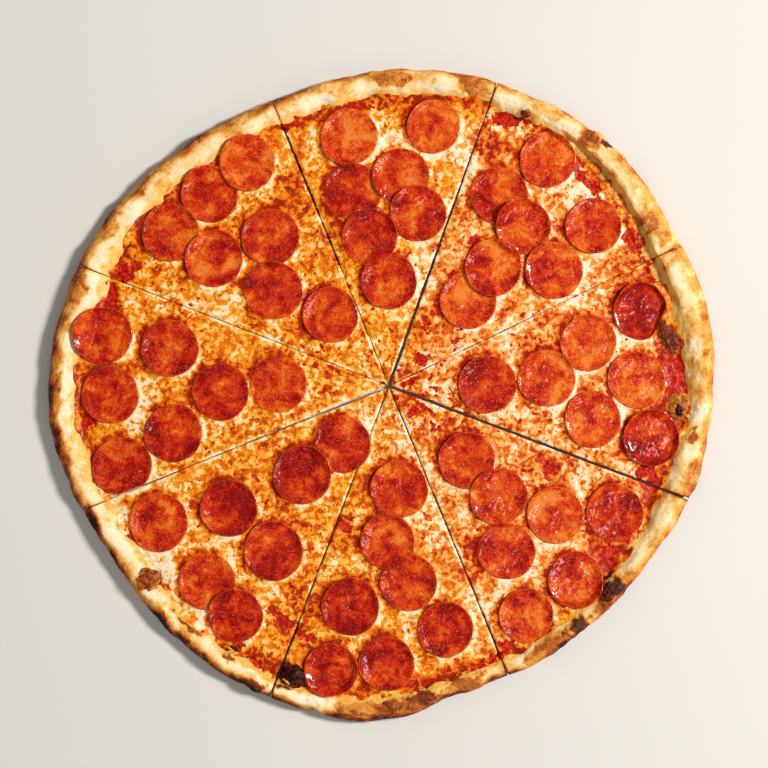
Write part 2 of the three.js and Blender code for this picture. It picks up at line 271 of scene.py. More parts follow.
@dataclass(frozen=True)
class Round:
    """A pepperoni round.

    Attributes:
        x: Centre along X, in millimetres.
        y: Centre along Y, in millimetres.
        size: Diameter, in millimetres.
        dark: How much darker than usual it is, from -1 to 1.
        lie: How much its edge curls up.
        squeeze: Width along X as a share of the width along Y.
        fold: Direction in which its edge is folded up, in degrees.
        fold_at: Where the fold starts, as a share of its radius; 2 for no fold.
    """

    x: float
    y: float
    size: float
    dark: float = 0.0
    lie: Lie = Lie.CUPPED
    squeeze: float = 1.0
    fold: float = 0.0
    fold_at: float = 2.0

    def gap(self, x: Array, y: Array) -> Array:
        """Distance of each place outside its edge, in millimetres; it is negative inside."""
        return np.hypot(x - self.x, y - self.y) - self.size / 2


def rounds_of(*rows: tuple) -> tuple[Round, ...]:
    """Make rounds from rows of their fields."""
    return tuple(Round(*row) for row in rows)


# Rounds of each slice, lowest first.
ROUNDS = (
    rounds_of(
        (174.5, 57, 39, 1.1, Lie.DEEP, 0.94, -25, 0.72), (139.5, 35.5, 38, -0.8),
        (71.5, 7.5, 39.5, -0.2), (111.5, 11.5, 39, -0.6, Lie.FLAT), (172, 10.5, 39, -0.4),
        (142.5, -16, 38.5, -0.2), (182, -28.5, 38.5, 0.9, Lie.DEEP),
    ),
    rounds_of(
        (79.5, 135, 39), (95.5, 114, 37.5, -0.8, Lie.DEEP), (58.5, 64.5, 39, -0.8),
        (75.5, 86.5, 39, -0.4), (112, 159, 38, -0.8), (143, 114.5, 38, -0.2),
        (116.5, 84.5, 39, -0.4),
    ),
    rounds_of(
        (-22, 174.5, 39, -0.6), (-19.5, 137.5, 39, 0.4, Lie.FLAT), (13, 148, 38.5),
        (24.5, 123, 38.5, -0.2), (5, 77.5, 38.5, -0.2), (-8, 107, 38.5, 0.6, Lie.FLAT),
        (35, 181.5, 36.5, -0.8),
    ),
    rounds_of(
        (-116, 136, 39), (-90.5, 157, 38, -0.6), (-142.5, 110, 39, -0.4), (-113, 92.5, 39),
        (-75, 107, 39, 0.4), (-73, 71, 40, 0.4, Lie.FLAT), (-34.5, 54.5, 38, 0.2),
    ),
    rounds_of(
        (-188, 40.5, 39.5, 0.4), (-143, 32, 39, -0.2), (-183, 0.5, 39, 0.2),
        (-108.5, 2.5, 39, 0.8, Lie.FLAT), (-69.5, 7.5, 38.5, -0.2, Lie.FLAT),
        (-140.5, -25.5, 39.5, 0.8), (-175, -47.5, 40, 0.2),
    ),
    rounds_of(
        (-26.5, -33, 39, 0.2, Lie.FLAT), (-53.5, -53.5, 40, 0.6), (-118, -125.5, 38.5, -0.2),
        (-98.5, -148.5, 37), (-103, -76, 39, 0.8), (-150.5, -85.5, 40), (-73, -105, 40.5, 0.4),
    ),
    rounds_of(
        (12, -63, 39, 0.2), (18, -126, 39, 0.4), (4, -98.5, 37.5), (-21, -142.5, 39.5, 0.6),
        (43, -158, 38, 0.4), (-34, -185, 36.5, 0, Lie.DEEP), (3.5, -181, 37.5, 0.6),
    ),
    rounds_of(
        (57.5, -43.5, 38.5, -0.2), (79, -68, 39, -0.2), (84.5, -105, 39, 0, Lie.FLAT),
        (117.5, -80.5, 39, -0.8), (157.5, -79, 39, 0.4), (131, -124.5, 38),
        (97.5, -148.5, 37, -0.6),
    ),
)
# The slice and place of the one round that overhangs its slice's cut whole.
OVERHANG = (5, 0)
ROUND_THICKNESS = 1.5
EVERY_ROUND = tuple(disc for rounds in ROUNDS for disc in rounds)


# ------------------------------------------------------------------ survey of the frame

def tree_of(node: bpy.types.Object) -> BVHTree:
    """Make a search tree of a node's faces, for casting rays at it."""
    points = [node.matrix_world @ v.co for v in node.data.vertices]
    return BVHTree.FromPolygons(points, [tuple(p.vertices) for p in node.data.polygons])


@dataclass
class Dough:
    """The pizza's outline and the form of its rim, read from the frame's crust nodes.

    Attributes:
        angles: Directions that were surveyed, in radians.
        radii: Outer radius in each direction, in millimetres.
        widths: Width of the rim in each direction, in millimetres.
        heights: Height of the rim in each direction, in millimetres.
        base: Thickness of the flat base, in millimetres.
        shares: Shares of the rim's width, from its outer edge inwards.
        gentle: Height of the inner side at each share, as a share of the rim's height.
        stepped: The same where it is a wall above a ledge.
    """

    angles: Array
    radii: Array
    widths: Array
    heights: Array
    base: float
    shares: tuple[float, ...] = (0.3, 0.4, 0.5, 0.6, 0.65, 0.7, 0.8, 0.9, 1.0)
    gentle: tuple[float, ...] = (1.0, 0.985, 0.93, 0.84, 0.77, 0.68, 0.5, 0.33, 0.0)
    stepped: tuple[float, ...] = (1.0, 1.0, 1.0, 0.9, 0.46, 0.36, 0.32, 0.3, 0.0)

    @classmethod
    def survey(cls) -> "Dough":
        """Measure the crust nodes with rays.

        Returns:
            The surveyed dough.
        """
        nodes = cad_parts.items()
        trees = [tree_of(node) for name, node in nodes if name.endswith("_crust")]
        directions, far, high, side_height = 192, 0.3, 0.05, 6 * MM
        least_radius, least_height, inward_step = 0.19, 8 * MM, 0.5
        base = 4.0
        rows = []
        for step in range(directions):
            angle = TURN * (step + 0.5) / directions
            out = Vector((math.cos(angle), math.sin(angle), 0))
            start = out * far + Vector((0, 0, side_height))
            hits = [tree.ray_cast(start, -out)[0] for tree in trees]
            reached = max((hit.xy.length for hit in hits if hit), default=0.0)
            if reached < least_radius:
                continue
            tops = []
            for inward in np.arange(1.0, 40.0, inward_step) * MM:
                spot = out * (reached - inward) + Vector((0, 0, high))
                falls = [tree.ray_cast(spot, DOWN)[0] for tree in trees]
                tops.append(max((fall.z for fall in falls if fall), default=0.0))
            tops = np.array(tops)
            if tops.max() < least_height or (tops == 0).any():
                continue
            toe = int(np.argmax(tops < (base + 0.25) * MM))
            width = 1.0 + inward_step * toe + inward_step
            rows.append((angle, reached / MM, width, tops.max() / MM))
        angles, radii, widths, heights = np.array(rows).T
        LOG.info("surveyed %d directions, radius %.1f mm or less", len(rows), radii.max())
        return cls(angles, radii, widths, heights, base)

    def around(self, values: Array, angle: Array) -> Array:
        """Return surveyed values, smoothed a little, in any direction.

        Args:
            values: One value for each surveyed direction.
            angle: Directions, in radians.

        Returns:
            The values in those directions.
        """
        spread = np.radians((-3.0, -1.0, 1.0, 3.0))
        total = sum(np.interp(angle + turn, self.angles, values, period=TURN) for turn in spread)
        return total / len(spread)

    def radius(self, angle: Array) -> Array:
        """Outer radius in a direction, with the small unevenness of hand-shaped dough."""
        return self.around(self.radii, angle) + 0.7 * ring_ripple(angle, RIM_RADIUS, 26, SEED, 2)

    def width(self, angle: Array) -> Array:
        """Width of the rim in a direction."""
        waves = 1.6 * ring_ripple(angle, RIM_RADIUS, 22, SEED + 1, 2)
        return self.around(self.widths, angle) + waves

    def height(self, angle: Array) -> Array:
        """Height of the rim in a direction."""
        waves = 0.9 * ring_ripple(angle, RIM_RADIUS, 40, SEED + 2, 2)
        return self.around(self.heights, angle) + waves

    def ledge(self, angle: Array) -> Array:
        """Say where the rim's inner side is a steep wall above a low ledge.

        Args:
            angle: Directions, in radians.

        Returns:
            From 0 to 1 at the ledge.
        """
        degrees = np.degrees(angle) % 360
        marked = smoothstep(LEDGE_START - 4, LEDGE_START + 4, degrees)
        marked = marked * smoothstep(LEDGE_END + 6, LEDGE_END - 6, degrees)
        waves = 0.4 * ring_ripple(angle, RIM_RADIUS, 40, SEED + 3)
        return np.clip(marked * (1.1 + waves), 0, 1)

    def slope(self, share: Array, angle: Array) -> Array:
        """Height of the rim's inner side.

        Args:
            share: How far in from the outer edge, as a share of the rim's width.
            angle: Directions, in radians.

        Returns:
            Heights above the table, in millimetres.
        """
        ledge = self.ledge(angle)
        rise = np.interp(share, self.shares, self.gentle) * (1 - ledge)
        rise = rise + np.interp(share, self.shares, self.stepped) * ledge
        return self.base + (self.height(angle) - self.base) * rise

    def share_at(self, x: Array, y: Array) -> Array:
        """How far in from the outer edge a place lies, as a share of the rim's width."""
        angle = np.arctan2(y, x)
        return (self.radius(angle) - np.hypot(x, y)) / self.width(angle)

    def top(self, x: Array, y: Array) -> Array:
        """Height of the crust's upper side inside the crest.

        Args:
            x, y: Places along X and Y, in millimetres.

        Returns:
            Heights, in millimetres.
        """
        share = np.clip(self.share_at(x, y), self.shares[0], 1.0)
        bubbles = cover_of(BLISTERS, x, y, 0.12) * smoothstep(1.02, 0.9, share)
        return self.slope(share, np.arctan2(y, x)) + bubbles


@dataclass
class SlicePlan:
    """Where one slice lies, read from the frame.

    Attributes:
        number: The slice's number.
        tip: Its inner corner, in millimetres.
        start: Direction of its first cut, in radians.
        turn: Angle between its cuts, in radians.
    """

    number: int
    tip: Array
    start: float
    turn: float

    @classmethod
    def survey(cls, number: int) -> "SlicePlan":
        """Read a slice's corner and cuts from its crust node.

        Args:
            number: The slice's number.

        Returns:
            The slice's plan.
        """
        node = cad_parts[f"slice_{number}_crust"]
        points = np.array([tuple(node.matrix_world @ v.co) for v in node.data.vertices]) / MM
        plan = points[:, :2]
        tip = plan[np.argmin(np.hypot(*plan.T))]
        offset = plan - tip
        offset = offset[np.hypot(*offset.T) > 50]
        middle = math.atan2(*offset.mean(axis=0)[::-1])
        spread = np.arctan2(offset[:, 1], offset[:, 0]) - middle
        spread = (spread + math.pi) % TURN - math.pi
        return cls(number, tip, middle + spread.min(), spread.max() - spread.min())

    def rays(self, columns: int) -> tuple[Array, Array]:
        """Headings and unit directions of evenly spread rays, with columns gaps between them."""
        heading = self.start + self.turn * np.linspace(0, 1, columns + 1)
        return heading, np.stack([np.cos(heading), np.sin(heading)], axis=1)

    def reach(self, direction: Array, radius_at: Callable[[Array], Array]) -> Array:
        """Distance from the tip to where a radius about the pizza's middle is reached.

        Args:
            direction: Unit directions.
            radius_at: Gives the radius in a direction.

        Returns:
            Distances along the directions, in millimetres.
        """
        first_guess, repeats = 200.0, 6
        distance = np.full(len(direction), first_guess)
        for _ in range(repeats):
            point = self.tip + distance[:, None] * direction
            angle = np.arctan2(point[:, 1], point[:, 0])
            distance = distance + radius_at(angle) - np.hypot(*point.T)
        return distance

    def cut_distance(self, x: Array, y: Array) -> Array:
        """Distance from each place inside the slice to its nearer cut.

        Args:
            x, y: Places along X and Y, in millimetres.

        Returns:
            Distances, in millimetres.
        """
        px, py = x - self.tip[0], y - self.tip[1]
        end = self.start + self.turn
        first = py * math.cos(self.start) - px * math.sin(self.start)
        last = px * math.sin(end) - py * math.cos(end)
        return np.minimum(first, last)


# ------------------------------------------------------------------ shader making

class Wire:
    """A shader socket that takes part in arithmetic."""

    def __init__(self, finish: "Shading", socket: bpy.types.NodeSocket) -> None:
        """Hold an output socket and the shading that it belongs to."""
        self.finish = finish
        self.socket = socket

    def _math(self, operation: str, first: Any, second: Any) -> "Wire":
        """Add one Math node."""
        return self.finish.node("ShaderNodeMath", {"operation": operation}, {0: first, 1: second})

    def __add__(self, other: Any) -> "Wire":
        """Sum."""
        return self._math("ADD", self, other)

    __radd__ = __add__

    def __sub__(self, other: Any) -> "Wire":
        """Difference."""
        return self._math("SUBTRACT", self, other)

    def __rsub__(self, other: Any) -> "Wire":
        """Difference the other way."""
        return self._math("SUBTRACT", other, self)

    def __mul__(self, other: Any) -> "Wire":
        """Product."""
        return self._math("MULTIPLY", self, other)

    __rmul__ = __mul__

    def larger(self, other: Any) -> "Wire":
        """Return the larger of two values."""
        return self._math("MAXIMUM", self, other)

    def rise(self, low: float, high: float) -> "Wire":
        """Rise smoothly from 0 to 1.

        Args:
            low: Value where the rise starts.
            high: Value where it ends, which may be below low.

        Returns:
            The risen value.
        """
        settings = {"interpolation_type": "SMOOTHSTEP"}
        flipped = low > high
        ends = {1: high, 2: low} if flipped else {1: low, 2: high}
        risen = self.finish.node("ShaderNodeMapRange", settings, {0: self, **ends})
        return 1.0 - risen if flipped else risen


def colour(code: str) -> tuple[float, float, float, float]:
    """Turn a hexadecimal screen colour into a linear one.

    Args:
        code: Six hexadecimal digits.

    Returns:
        Red, green, blue and 1.
    """
    parts = [int(code[i:i + 2], 16) / 255 for i in (0, 2, 4)]
    linear = [p / 12.92 if p <= 0.04045 else ((p + 0.055) / 1.055) ** 2.4 for p in parts]
    return (*linear, 1.0)


class Shading:
    """One material under construction."""

    def __init__(self, name: str) -> None:
        """Start an empty material.

        Args:
            name: The material's name.
        """
        self.material = bpy.data.materials.new(name)
        self.material.use_nodes = True
        self.tree = self.material.node_tree
        self.tree.nodes.clear()
        self.place = self.node("ShaderNodeTexCoord", {}, {}, "Object")

    def node(self, kind: str, settings: dict, inputs: dict, output: Any = 0) -> Wire:
        """Add a node.

        Args:
            kind: The node's type.
            settings: Properties that are set first; stops gives a ramp's colours.
            inputs: Socket name or number to a value or a wire.
            output: Name or number of the output that is returned.

        Returns:
            A wire from that output.
        """
        made = self.tree.nodes.new(kind)
        for key, value in settings.items():
            if key == "stops":
                ramp = made.color_ramp
                while len(ramp.elements) < len(value):
                    ramp.elements.new(0.5)
                for element, (position, tint) in zip(ramp.elements, value):
                    element.position = position
                    element.color = colour(tint)
            else:
                setattr(made, key, value)
        for key, value in inputs.items():
            if isinstance(value, Wire):
                self.tree.links.new(value.socket, made.inputs[key])
            else:
                made.inputs[key].default_value = value
        return Wire(self, made.outputs[output])

    def noise(
        self, size: float, detail: float = 3.0, rough: float = 0.55, bend: float = 0.0
    ) -> Wire:
        """Make cloudy noise.

        Args:
            size: Width of its blobs, in millimetres.
            detail: Number of finer layers.
            rough: Strength of the finer layers.
            bend: How far it is distorted.

        Returns:
            Values about 0.5.
        """
        inputs = {"Vector": self.place, "Scale": 1 / (size * MM), "Detail": detail}
        inputs.update({"Roughness": rough, "Distortion": bend})
        return self.node("ShaderNodeTexNoise", {}, inputs)

    def spots(self, size: float, low: float, high: float) -> Wire:
        """Make soft roundish spots of mixed sizes.

        Args:
            size: Distance between them, in millimetres.
            low: Distance from its middle within which a spot is full.
            high: Distance where it ends.

        Returns:
            From 0 to 1 in the spots.
        """
        inputs = {"Vector": self.place, "Scale": 1 / (2 * size * MM), "Detail": 2.0}
        bend = self.node("ShaderNodeTexNoise", {}, inputs, "Color")
        push = (0.9 * size * MM,) * 3
        inputs = {0: bend, 1: push, 2: self.place}
        bent = self.node("ShaderNodeVectorMath", {"operation": "MULTIPLY_ADD"}, inputs)
        inputs = {"Vector": bent, "Scale": 1 / (size * MM)}
        distance = self.node("ShaderNodeTexVoronoi", {}, inputs, "Distance")
        chance = self.node("ShaderNodeTexVoronoi", {}, inputs, "Color")
        return (distance + chance * 0.5).rise(high, low)

    def mark(self, name: str) -> Wire:
        """Read a number that the mesh carries."""
        return self.node("ShaderNodeAttribute", {"attribute_name": name}, {}, "Fac")

    def ramp(self, value: Wire, stops: tuple) -> Wire:
        """Turn a value into a colour by a ramp of stops."""
        return self.node("ShaderNodeValToRGB", {"stops": stops}, {0: value})

    def mix(self, amount: Any, first: Any, second: Any) -> Wire:
        """Blend two colours.

        Args:
            amount: Share of the second colour.
            first: Colour code or wire.
            second: Colour code or wire.

        Returns:
            The blended colour.
        """
        first = colour(first) if isinstance(first, str) else first
        second = colour(second) if isinstance(second, str) else second
        settings = {"data_type": "RGBA"}
        return self.node("ShaderNodeMix", settings, {0: amount, 6: first, 7: second}, 2)

    def finish(
        self, base: Wire, rough: Any, relief: Wire, depth: float, **others: Any
    ) -> bpy.types.Material:
        """Wire up the surface.

        Args:
            base: Base colour.
            rough: Roughness.
            relief: Height for the bump.
            depth: Height of the bump where relief is 1, in millimetres.
            others: Other values of the surface, by socket name with _ for a space.

        Returns:
            The finished material.
        """
        inputs = {"Strength": 1.0, "Distance": depth * MM, "Height": relief}
        bump = self.node("ShaderNodeBump", {}, inputs)
        inputs = {"Base Color": base, "Roughness": rough, "Normal": bump}
        inputs.update({key.replace("_", " "): value for key, value in others.items()})
        surface = self.node("ShaderNodeBsdfPrincipled", {}, inputs)
        output = self.tree.nodes.new("ShaderNodeOutputMaterial")
        self.tree.links.new(surface.socket, output.inputs["Surface"])
        return self.material


@dataclass(frozen=True)
class CrustFinish:
    """Baked dough, from cream to golden, toasted and charred.

    Attributes:
        stops: Colours from pale to charred.
        oil: Colours of the oil that seeps up its inner side, from its edge inwards.
    """

    stops: tuple = (
        (0.0, "FBE8C2"), (0.14, "F8D8A0"), (0.28, "EFB65E"), (0.42, "DB8E36"),
        (0.55, "BA6220"), (0.67, "923E12"), (0.79, "5A200A"), (0.9, "260E07"), (1.0, "100806"),
    )
    oil: tuple[str, str] = ("F8C258", "EA9424")

    def make(self) -> bpy.types.Material:
        """Make the material."""
        s = Shading("crust")
        blotch = s.noise(11, 4, 0.6, 0.5)
        patch = s.noise(4, 3, 0.6, 0.8)
        fine = s.noise(1.3, 3, 0.65)
        freckle = s.noise(2.4, 2, 0.5).rise(0.6, 0.72) * s.noise(13, 2).rise(0.48, 0.62)
        # The bake mark is real toasting with painted shade added on the side away from the light,
        # in the gutter below the ledge's wall and along the cuts.
        bake = s.mark("bake")
        grit = (fine - 0.5) * (bake * 0.7 + 0.06) + (s.noise(0.8, 2) - 0.5) * bake * 0.5
        baked = bake + (blotch - 0.5) * 0.45 * (bake + 0.25) + (patch - 0.5) * 0.3 + grit
        golden = s.noise(16, 3, 0.55, 0.6).rise(0.5, 0.6)
        baked = (baked + freckle * 0.16 + golden * 0.14) * 1.18 - 0.1
        leopard = s.noise(8, 4, 0.6, 0.4).rise(0.52, 0.64) * 0.26 - 0.02
        baked = baked + s.mark("under") * leopard
        char = s.mark("char")
        scorched = baked.larger(char + (fine - 0.5) * 0.5 * char + (patch - 0.5) * 0.5 * char)
        tint = s.ramp(scorched, self.stops)
        oiled = s.mark("oil") + (patch - 0.5) * 1.6 + (fine - 0.5) * 0.4
        tint = s.mix(oiled.rise(0.2, 0.7) * 0.8, tint, self.oil[0])
        tint = s.mix(oiled.rise(0.7, 1.2) * 0.8, tint, self.oil[1])
        relief = fine * 0.35 + s.noise(0.5, 2) * 0.15 + patch * 0.5
        rough = 0.8 - oiled.rise(0.3, 0.9) * 0.35 - char.rise(0.6, 1.0) * 0.4
        return s.finish(tint, rough, relief, 0.6, Specular_IOR_Level=0.25)


@dataclass(frozen=True)
class CheeseFinish:
    """Melted cheese, mottled from orange oil to pale cream, with toasted specks.

    Attributes:
        stops: Colours from dark red, rich in oil, to cream.
        gold: Colours where the oil is more yellow.
        pulp: Colours of bare sauce.
        speck: Colour of the small toasted specks.
    """

    stops: tuple = (
        (0.0, "9A1600"), (0.14, "C03400"), (0.28, "D25206"), (0.4, "DF7014"),
        (0.52, "E8882A"), (0.64, "F1A24C"), (0.76, "F6BA74"), (0.88, "F9D2A0"), (1.0, "FBE6C4"),
    )
    gold: tuple = (
        (0.0, "982000"), (0.2, "CE4C00"), (0.36, "E27406"), (0.52, "EB8E10"), (0.66, "F4AA30"),
        (0.8, "F8CC78"), (0.94, "FBE4BC"),
    )
    pulp: tuple = ((0.3, "7C0301"), (0.46, "AE1204"), (0.58, "CA2C10"), (0.7, "DA4A20"))
    speck: str = "B83205"

    def make(self) -> bpy.types.Material:
        """Make the material."""
        s = Shading("cheese")
        fine = s.noise(1.3, 3, 0.6, 0.3)
        blob = s.noise(3.8, 2, 0.5, 0.5)
        crumb = blob.rise(0.42, 0.58)
        dense = s.noise(17, 2).rise(0.36, 0.62)
        small = s.noise(1.9, 2, 0.5, 0.5)
        spots = s.spots(3.1, 0.38, 0.54) * (dense * 0.5 + 0.5)
        wide_spots = s.spots(5.4, 0.3, 0.5)
        tone = s.mark("tone") + 0.24 - crumb * (dense * 0.12 + 0.26)
        tone = tone + (fine - 0.5) * 0.16 + (small - 0.5) * 0.22
        tone = (tone - spots * 0.24 - wide_spots * 0.1) * 1.3 - 0.12
        golden = s.mark("gold") - 0.08 + (s.noise(8, 2) - 0.5) * 1.9
        tint = s.mix(golden.rise(0.3, 0.7), s.ramp(tone, self.stops), s.ramp(tone, self.gold))
        speck = s.noise(1.7, 2, 0.5, 0.5).rise(0.58, 0.67) * s.noise(9, 2).rise(0.4, 0.58)
        tint = s.mix(speck * 0.75, tint, self.speck)
        red = s.mark("red") + (fine - 0.5) * 0.5 + (blob - 0.5) * 0.5
        sauced = red.rise(0.36, 0.64)
        tint = s.mix(sauced, tint, s.ramp(s.noise(1.8, 3), self.pulp))
        burn = s.mark("burn") + (fine - 0.5) * 0.4
        burnt = s.ramp(fine, ((0.32, "1E0804"), (0.5, "4E1508"), (0.7, "93400F")))
        tint = s.mix(burn.rise(0.35, 0.7), tint, burnt)
        relief = fine * 0.25 + small * 0.25 - blob * 0.6 - spots * 0.3 - wide_spots * 0.3
        rough = 0.42 - sauced * 0.1
        return s.finish(tint, rough, relief, 0.6, Specular_IOR_Level=0.14)


@dataclass(frozen=True)
class SauceFinish:
    """Moist tomato sauce with bits of pulp.

    Attributes:
        stops: Colours from dark to bright.
    """

    stops: tuple = ((0.3, "700300"), (0.48, "A61202"), (0.66, "D03E0E"))

    def make(self) -> bpy.types.Material:
        """Make the material."""
        s = Shading("sauce")
        pulp = s.noise(2.2, 3)
        relief = pulp * 0.7 + s.noise(0.8, 2) * 0.3
        return s.finish(s.ramp(pulp, self.stops), 0.4, relief, 0.6, Specular_IOR_Level=0.08)


@dataclass(frozen=True)
class PepperoniFinish:
    """Cured sausage, deep red to orange, flecked with fat and shining with oil.

    Attributes:
        stops: Colours from deep red to orange.
        fat: Colour of the fat flecks.
        edge: Colour of the thin cut edge.
    """

    stops: tuple = (
        (0.0, "860000"), (0.2, "A80A00"), (0.38, "BE2000"), (0.52, "CC3400"),
        (0.68, "D74C04"), (0.84, "E0660C"), (1.0, "EA8030"),
    )
    fat: str = "EC7E46"
    edge: str = "D86A20"

    def make(self) -> bpy.types.Material:
        """Make the material."""
        s = Shading("pepperoni")
        cloud = s.noise(14, 2, 0.5, 0.5)
        grain = s.noise(1.3, 3, 0.65)
        coarse = s.noise(3.4, 3, 0.6, 0.6)
        share = s.mark("share")
        tone = 0.5 + (cloud - 0.5) * 2.2 + (grain - 0.5) * 0.9 + (coarse - 0.5) * 1.3
        tone = tone - s.mark("dark") - share.rise(0.6, 0.95) * 0.08
        tint = s.ramp(tone, self.stops)
        fleck = s.noise(1.2, 2, 0.6, 0.5).rise(0.57, 0.64) * s.noise(5, 2).rise(0.36, 0.56)
        tint = s.mix(fleck * (0.55 - s.mark("dark") * 1.2), tint, self.fat)
        rim = share.rise(0.94, 0.99)
        tint = s.mix(rim * (coarse * 0.8), tint, self.edge)
        relief = s.noise(0.9, 2, 0.6) * 0.35 + grain * 0.4 + coarse * 0.5
        wet = s.noise(1.5, 2, 0.6, 0.4).rise(0.44, 0.56)
        wet = wet * (s.noise(6, 2).rise(0.36, 0.5) * 0.7 + 0.3)
        coat = {"Coat_Weight": wet, "Coat_Roughness": 0.13}
        return s.finish(tint, 0.5, relief, 1.0, Specular_IOR_Level=0.08, **coat)


@dataclass(frozen=True)
class CharFinish:
    """Blistered dough and cheese, burnt from brown to glossy black.

    Attributes:
        stops: Colours from black to brown.
    """

    stops: tuple = (
        (0.0, "0A0202"), (0.22, "200503"), (0.4, "460E05"), (0.56, "78280A"),
        (0.74, "B0601A"), (1.0, "E0A048"),
    )

    def make(self) -> bpy.types.Material:
        """Make the material."""
        s = Shading("char")
        fine = s.noise(1.1, 3, 0.65, 0.4)
        patch = s.noise(4, 3, 0.6, 0.6)
        tone = s.mark("pale") + (fine - 0.5) * 0.7 + (patch - 0.5) * 1.0
        relief = fine * 0.4 + patch * 0.4
        tint, rough = s.ramp(tone, self.stops), 0.36 + fine * 0.2
        return s.finish(tint, rough, relief, 0.5, Specular_IOR_Level=0.14)


@dataclass(frozen=True)
class PlainFinish:
    """A plain matte surface for the floor.

    Attributes:
        tint: Its colour.
    """

    tint: str = "DEDCD8"

    def make(self) -> bpy.types.Material:
        """Make the material."""
        s = Shading("floor")
        cloud = s.noise(300, 2)
        tint = s.mix(cloud * 0.1, self.tint, "CFCDC9")
        return s.finish(tint, 0.7, cloud, 0.01)


# ------------------------------------------------------------------ mesh making

def select_none() -> None:
    """Deselect every object and leave edit mode."""
    if bpy.context.mode != "OBJECT":
        bpy.ops.object.mode_set(mode="OBJECT")
    bpy.ops.object.select_all(action="DESELECT")


def sheet_of(name: str, places: Array, marks: dict[str, Array]) -> bpy.types.Object:
    """Lay a grid over rows and columns of places, and close it into a solid.

    The first and last rows lie on each other. Where the first and last columns don't, the
    openings that are left at the sides are filled.

    Args:
        name: The piece's name.
        places: Rows by columns by 3, in millimetres.
        marks: Numbers for the mesh to carry, rows by columns.

    Returns:
        The closed piece.
    """
    rows, columns = places.shape[0] - 1, places.shape[1] - 1
    select_none()
    bpy.ops.mesh.primitive_grid_add(x_subdivisions=columns, y_subdivisions=rows, size=2)
    piece = bpy.context.object
    piece.name = name
    mesh = piece.data
    mesh.name = name
    flat = np.empty(len(mesh.vertices) * 3)
    mesh.vertices.foreach_get("co", flat)
    flat = flat.reshape(-1, 3)
    across = np.rint((flat[:, 0] + 1) / 2 * columns).astype(int)
    up = np.rint((flat[:, 1] + 1) / 2 * rows).astype(int)
    mesh.vertices.foreach_set("co", (places[up, across] * MM).ravel())
    for key, values in marks.items():
        layer = mesh.attributes.new(key, "FLOAT", "POINT")
        layer.data.foreach_set("value", np.asarray(values, dtype=np.float32)[up, across])
    mesh.update()
    bpy.ops.object.mode_set(mode="EDIT")
    bpy.ops.mesh.select_all(action="SELECT")
    bpy.ops.mesh.remove_doubles(threshold=0.002 * MM)
    bpy.ops.mesh.select_all(action="DESELECT")
    bpy.ops.mesh.select_mode(type="EDGE")
    bpy.ops.mesh.select_non_manifold()
    bpy.ops.mesh.fill_holes(sides=0)
    bpy.ops.mesh.select_mode(type="VERT")
    bpy.ops.mesh.select_all(action="SELECT")
    bpy.ops.mesh.normals_make_consistent(inside=False)
    bpy.ops.mesh.select_all(action="DESELECT")
    bpy.ops.object.mode_set(mode="OBJECT")
    bpy.ops.object.shade_smooth_by_angle(angle=math.radians(60))
    LOG.info("%s has %d faces", name, len(mesh.polygons))
    return piece


def along(stations: list[float], counts: list[int]) -> Array:
    """Spread rows between stations.

    Args:
        stations: Values to pass through.
        counts: Number of gaps between each two stations.

    Returns:
        All the values, in order.
    """
    spans = zip(stations, stations[1:], counts)
    parts = [np.linspace(a, b, count, endpoint=False) for a, b, count in spans]
    return np.concatenate([*parts, [stations[-1]]])


def normals_of(places: Array) -> Array:
    """Unit normals of a grid of places, which point out of the pizza.

    Args:
        places: Rows by columns by 3.

    Returns:
        The normals, in the same form.
    """
    normal = np.cross(np.gradient(places, axis=0), np.gradient(places, axis=1))
    length = np.linalg.norm(normal, axis=2, keepdims=True)
    return normal / np.maximum(length, 1e-9)


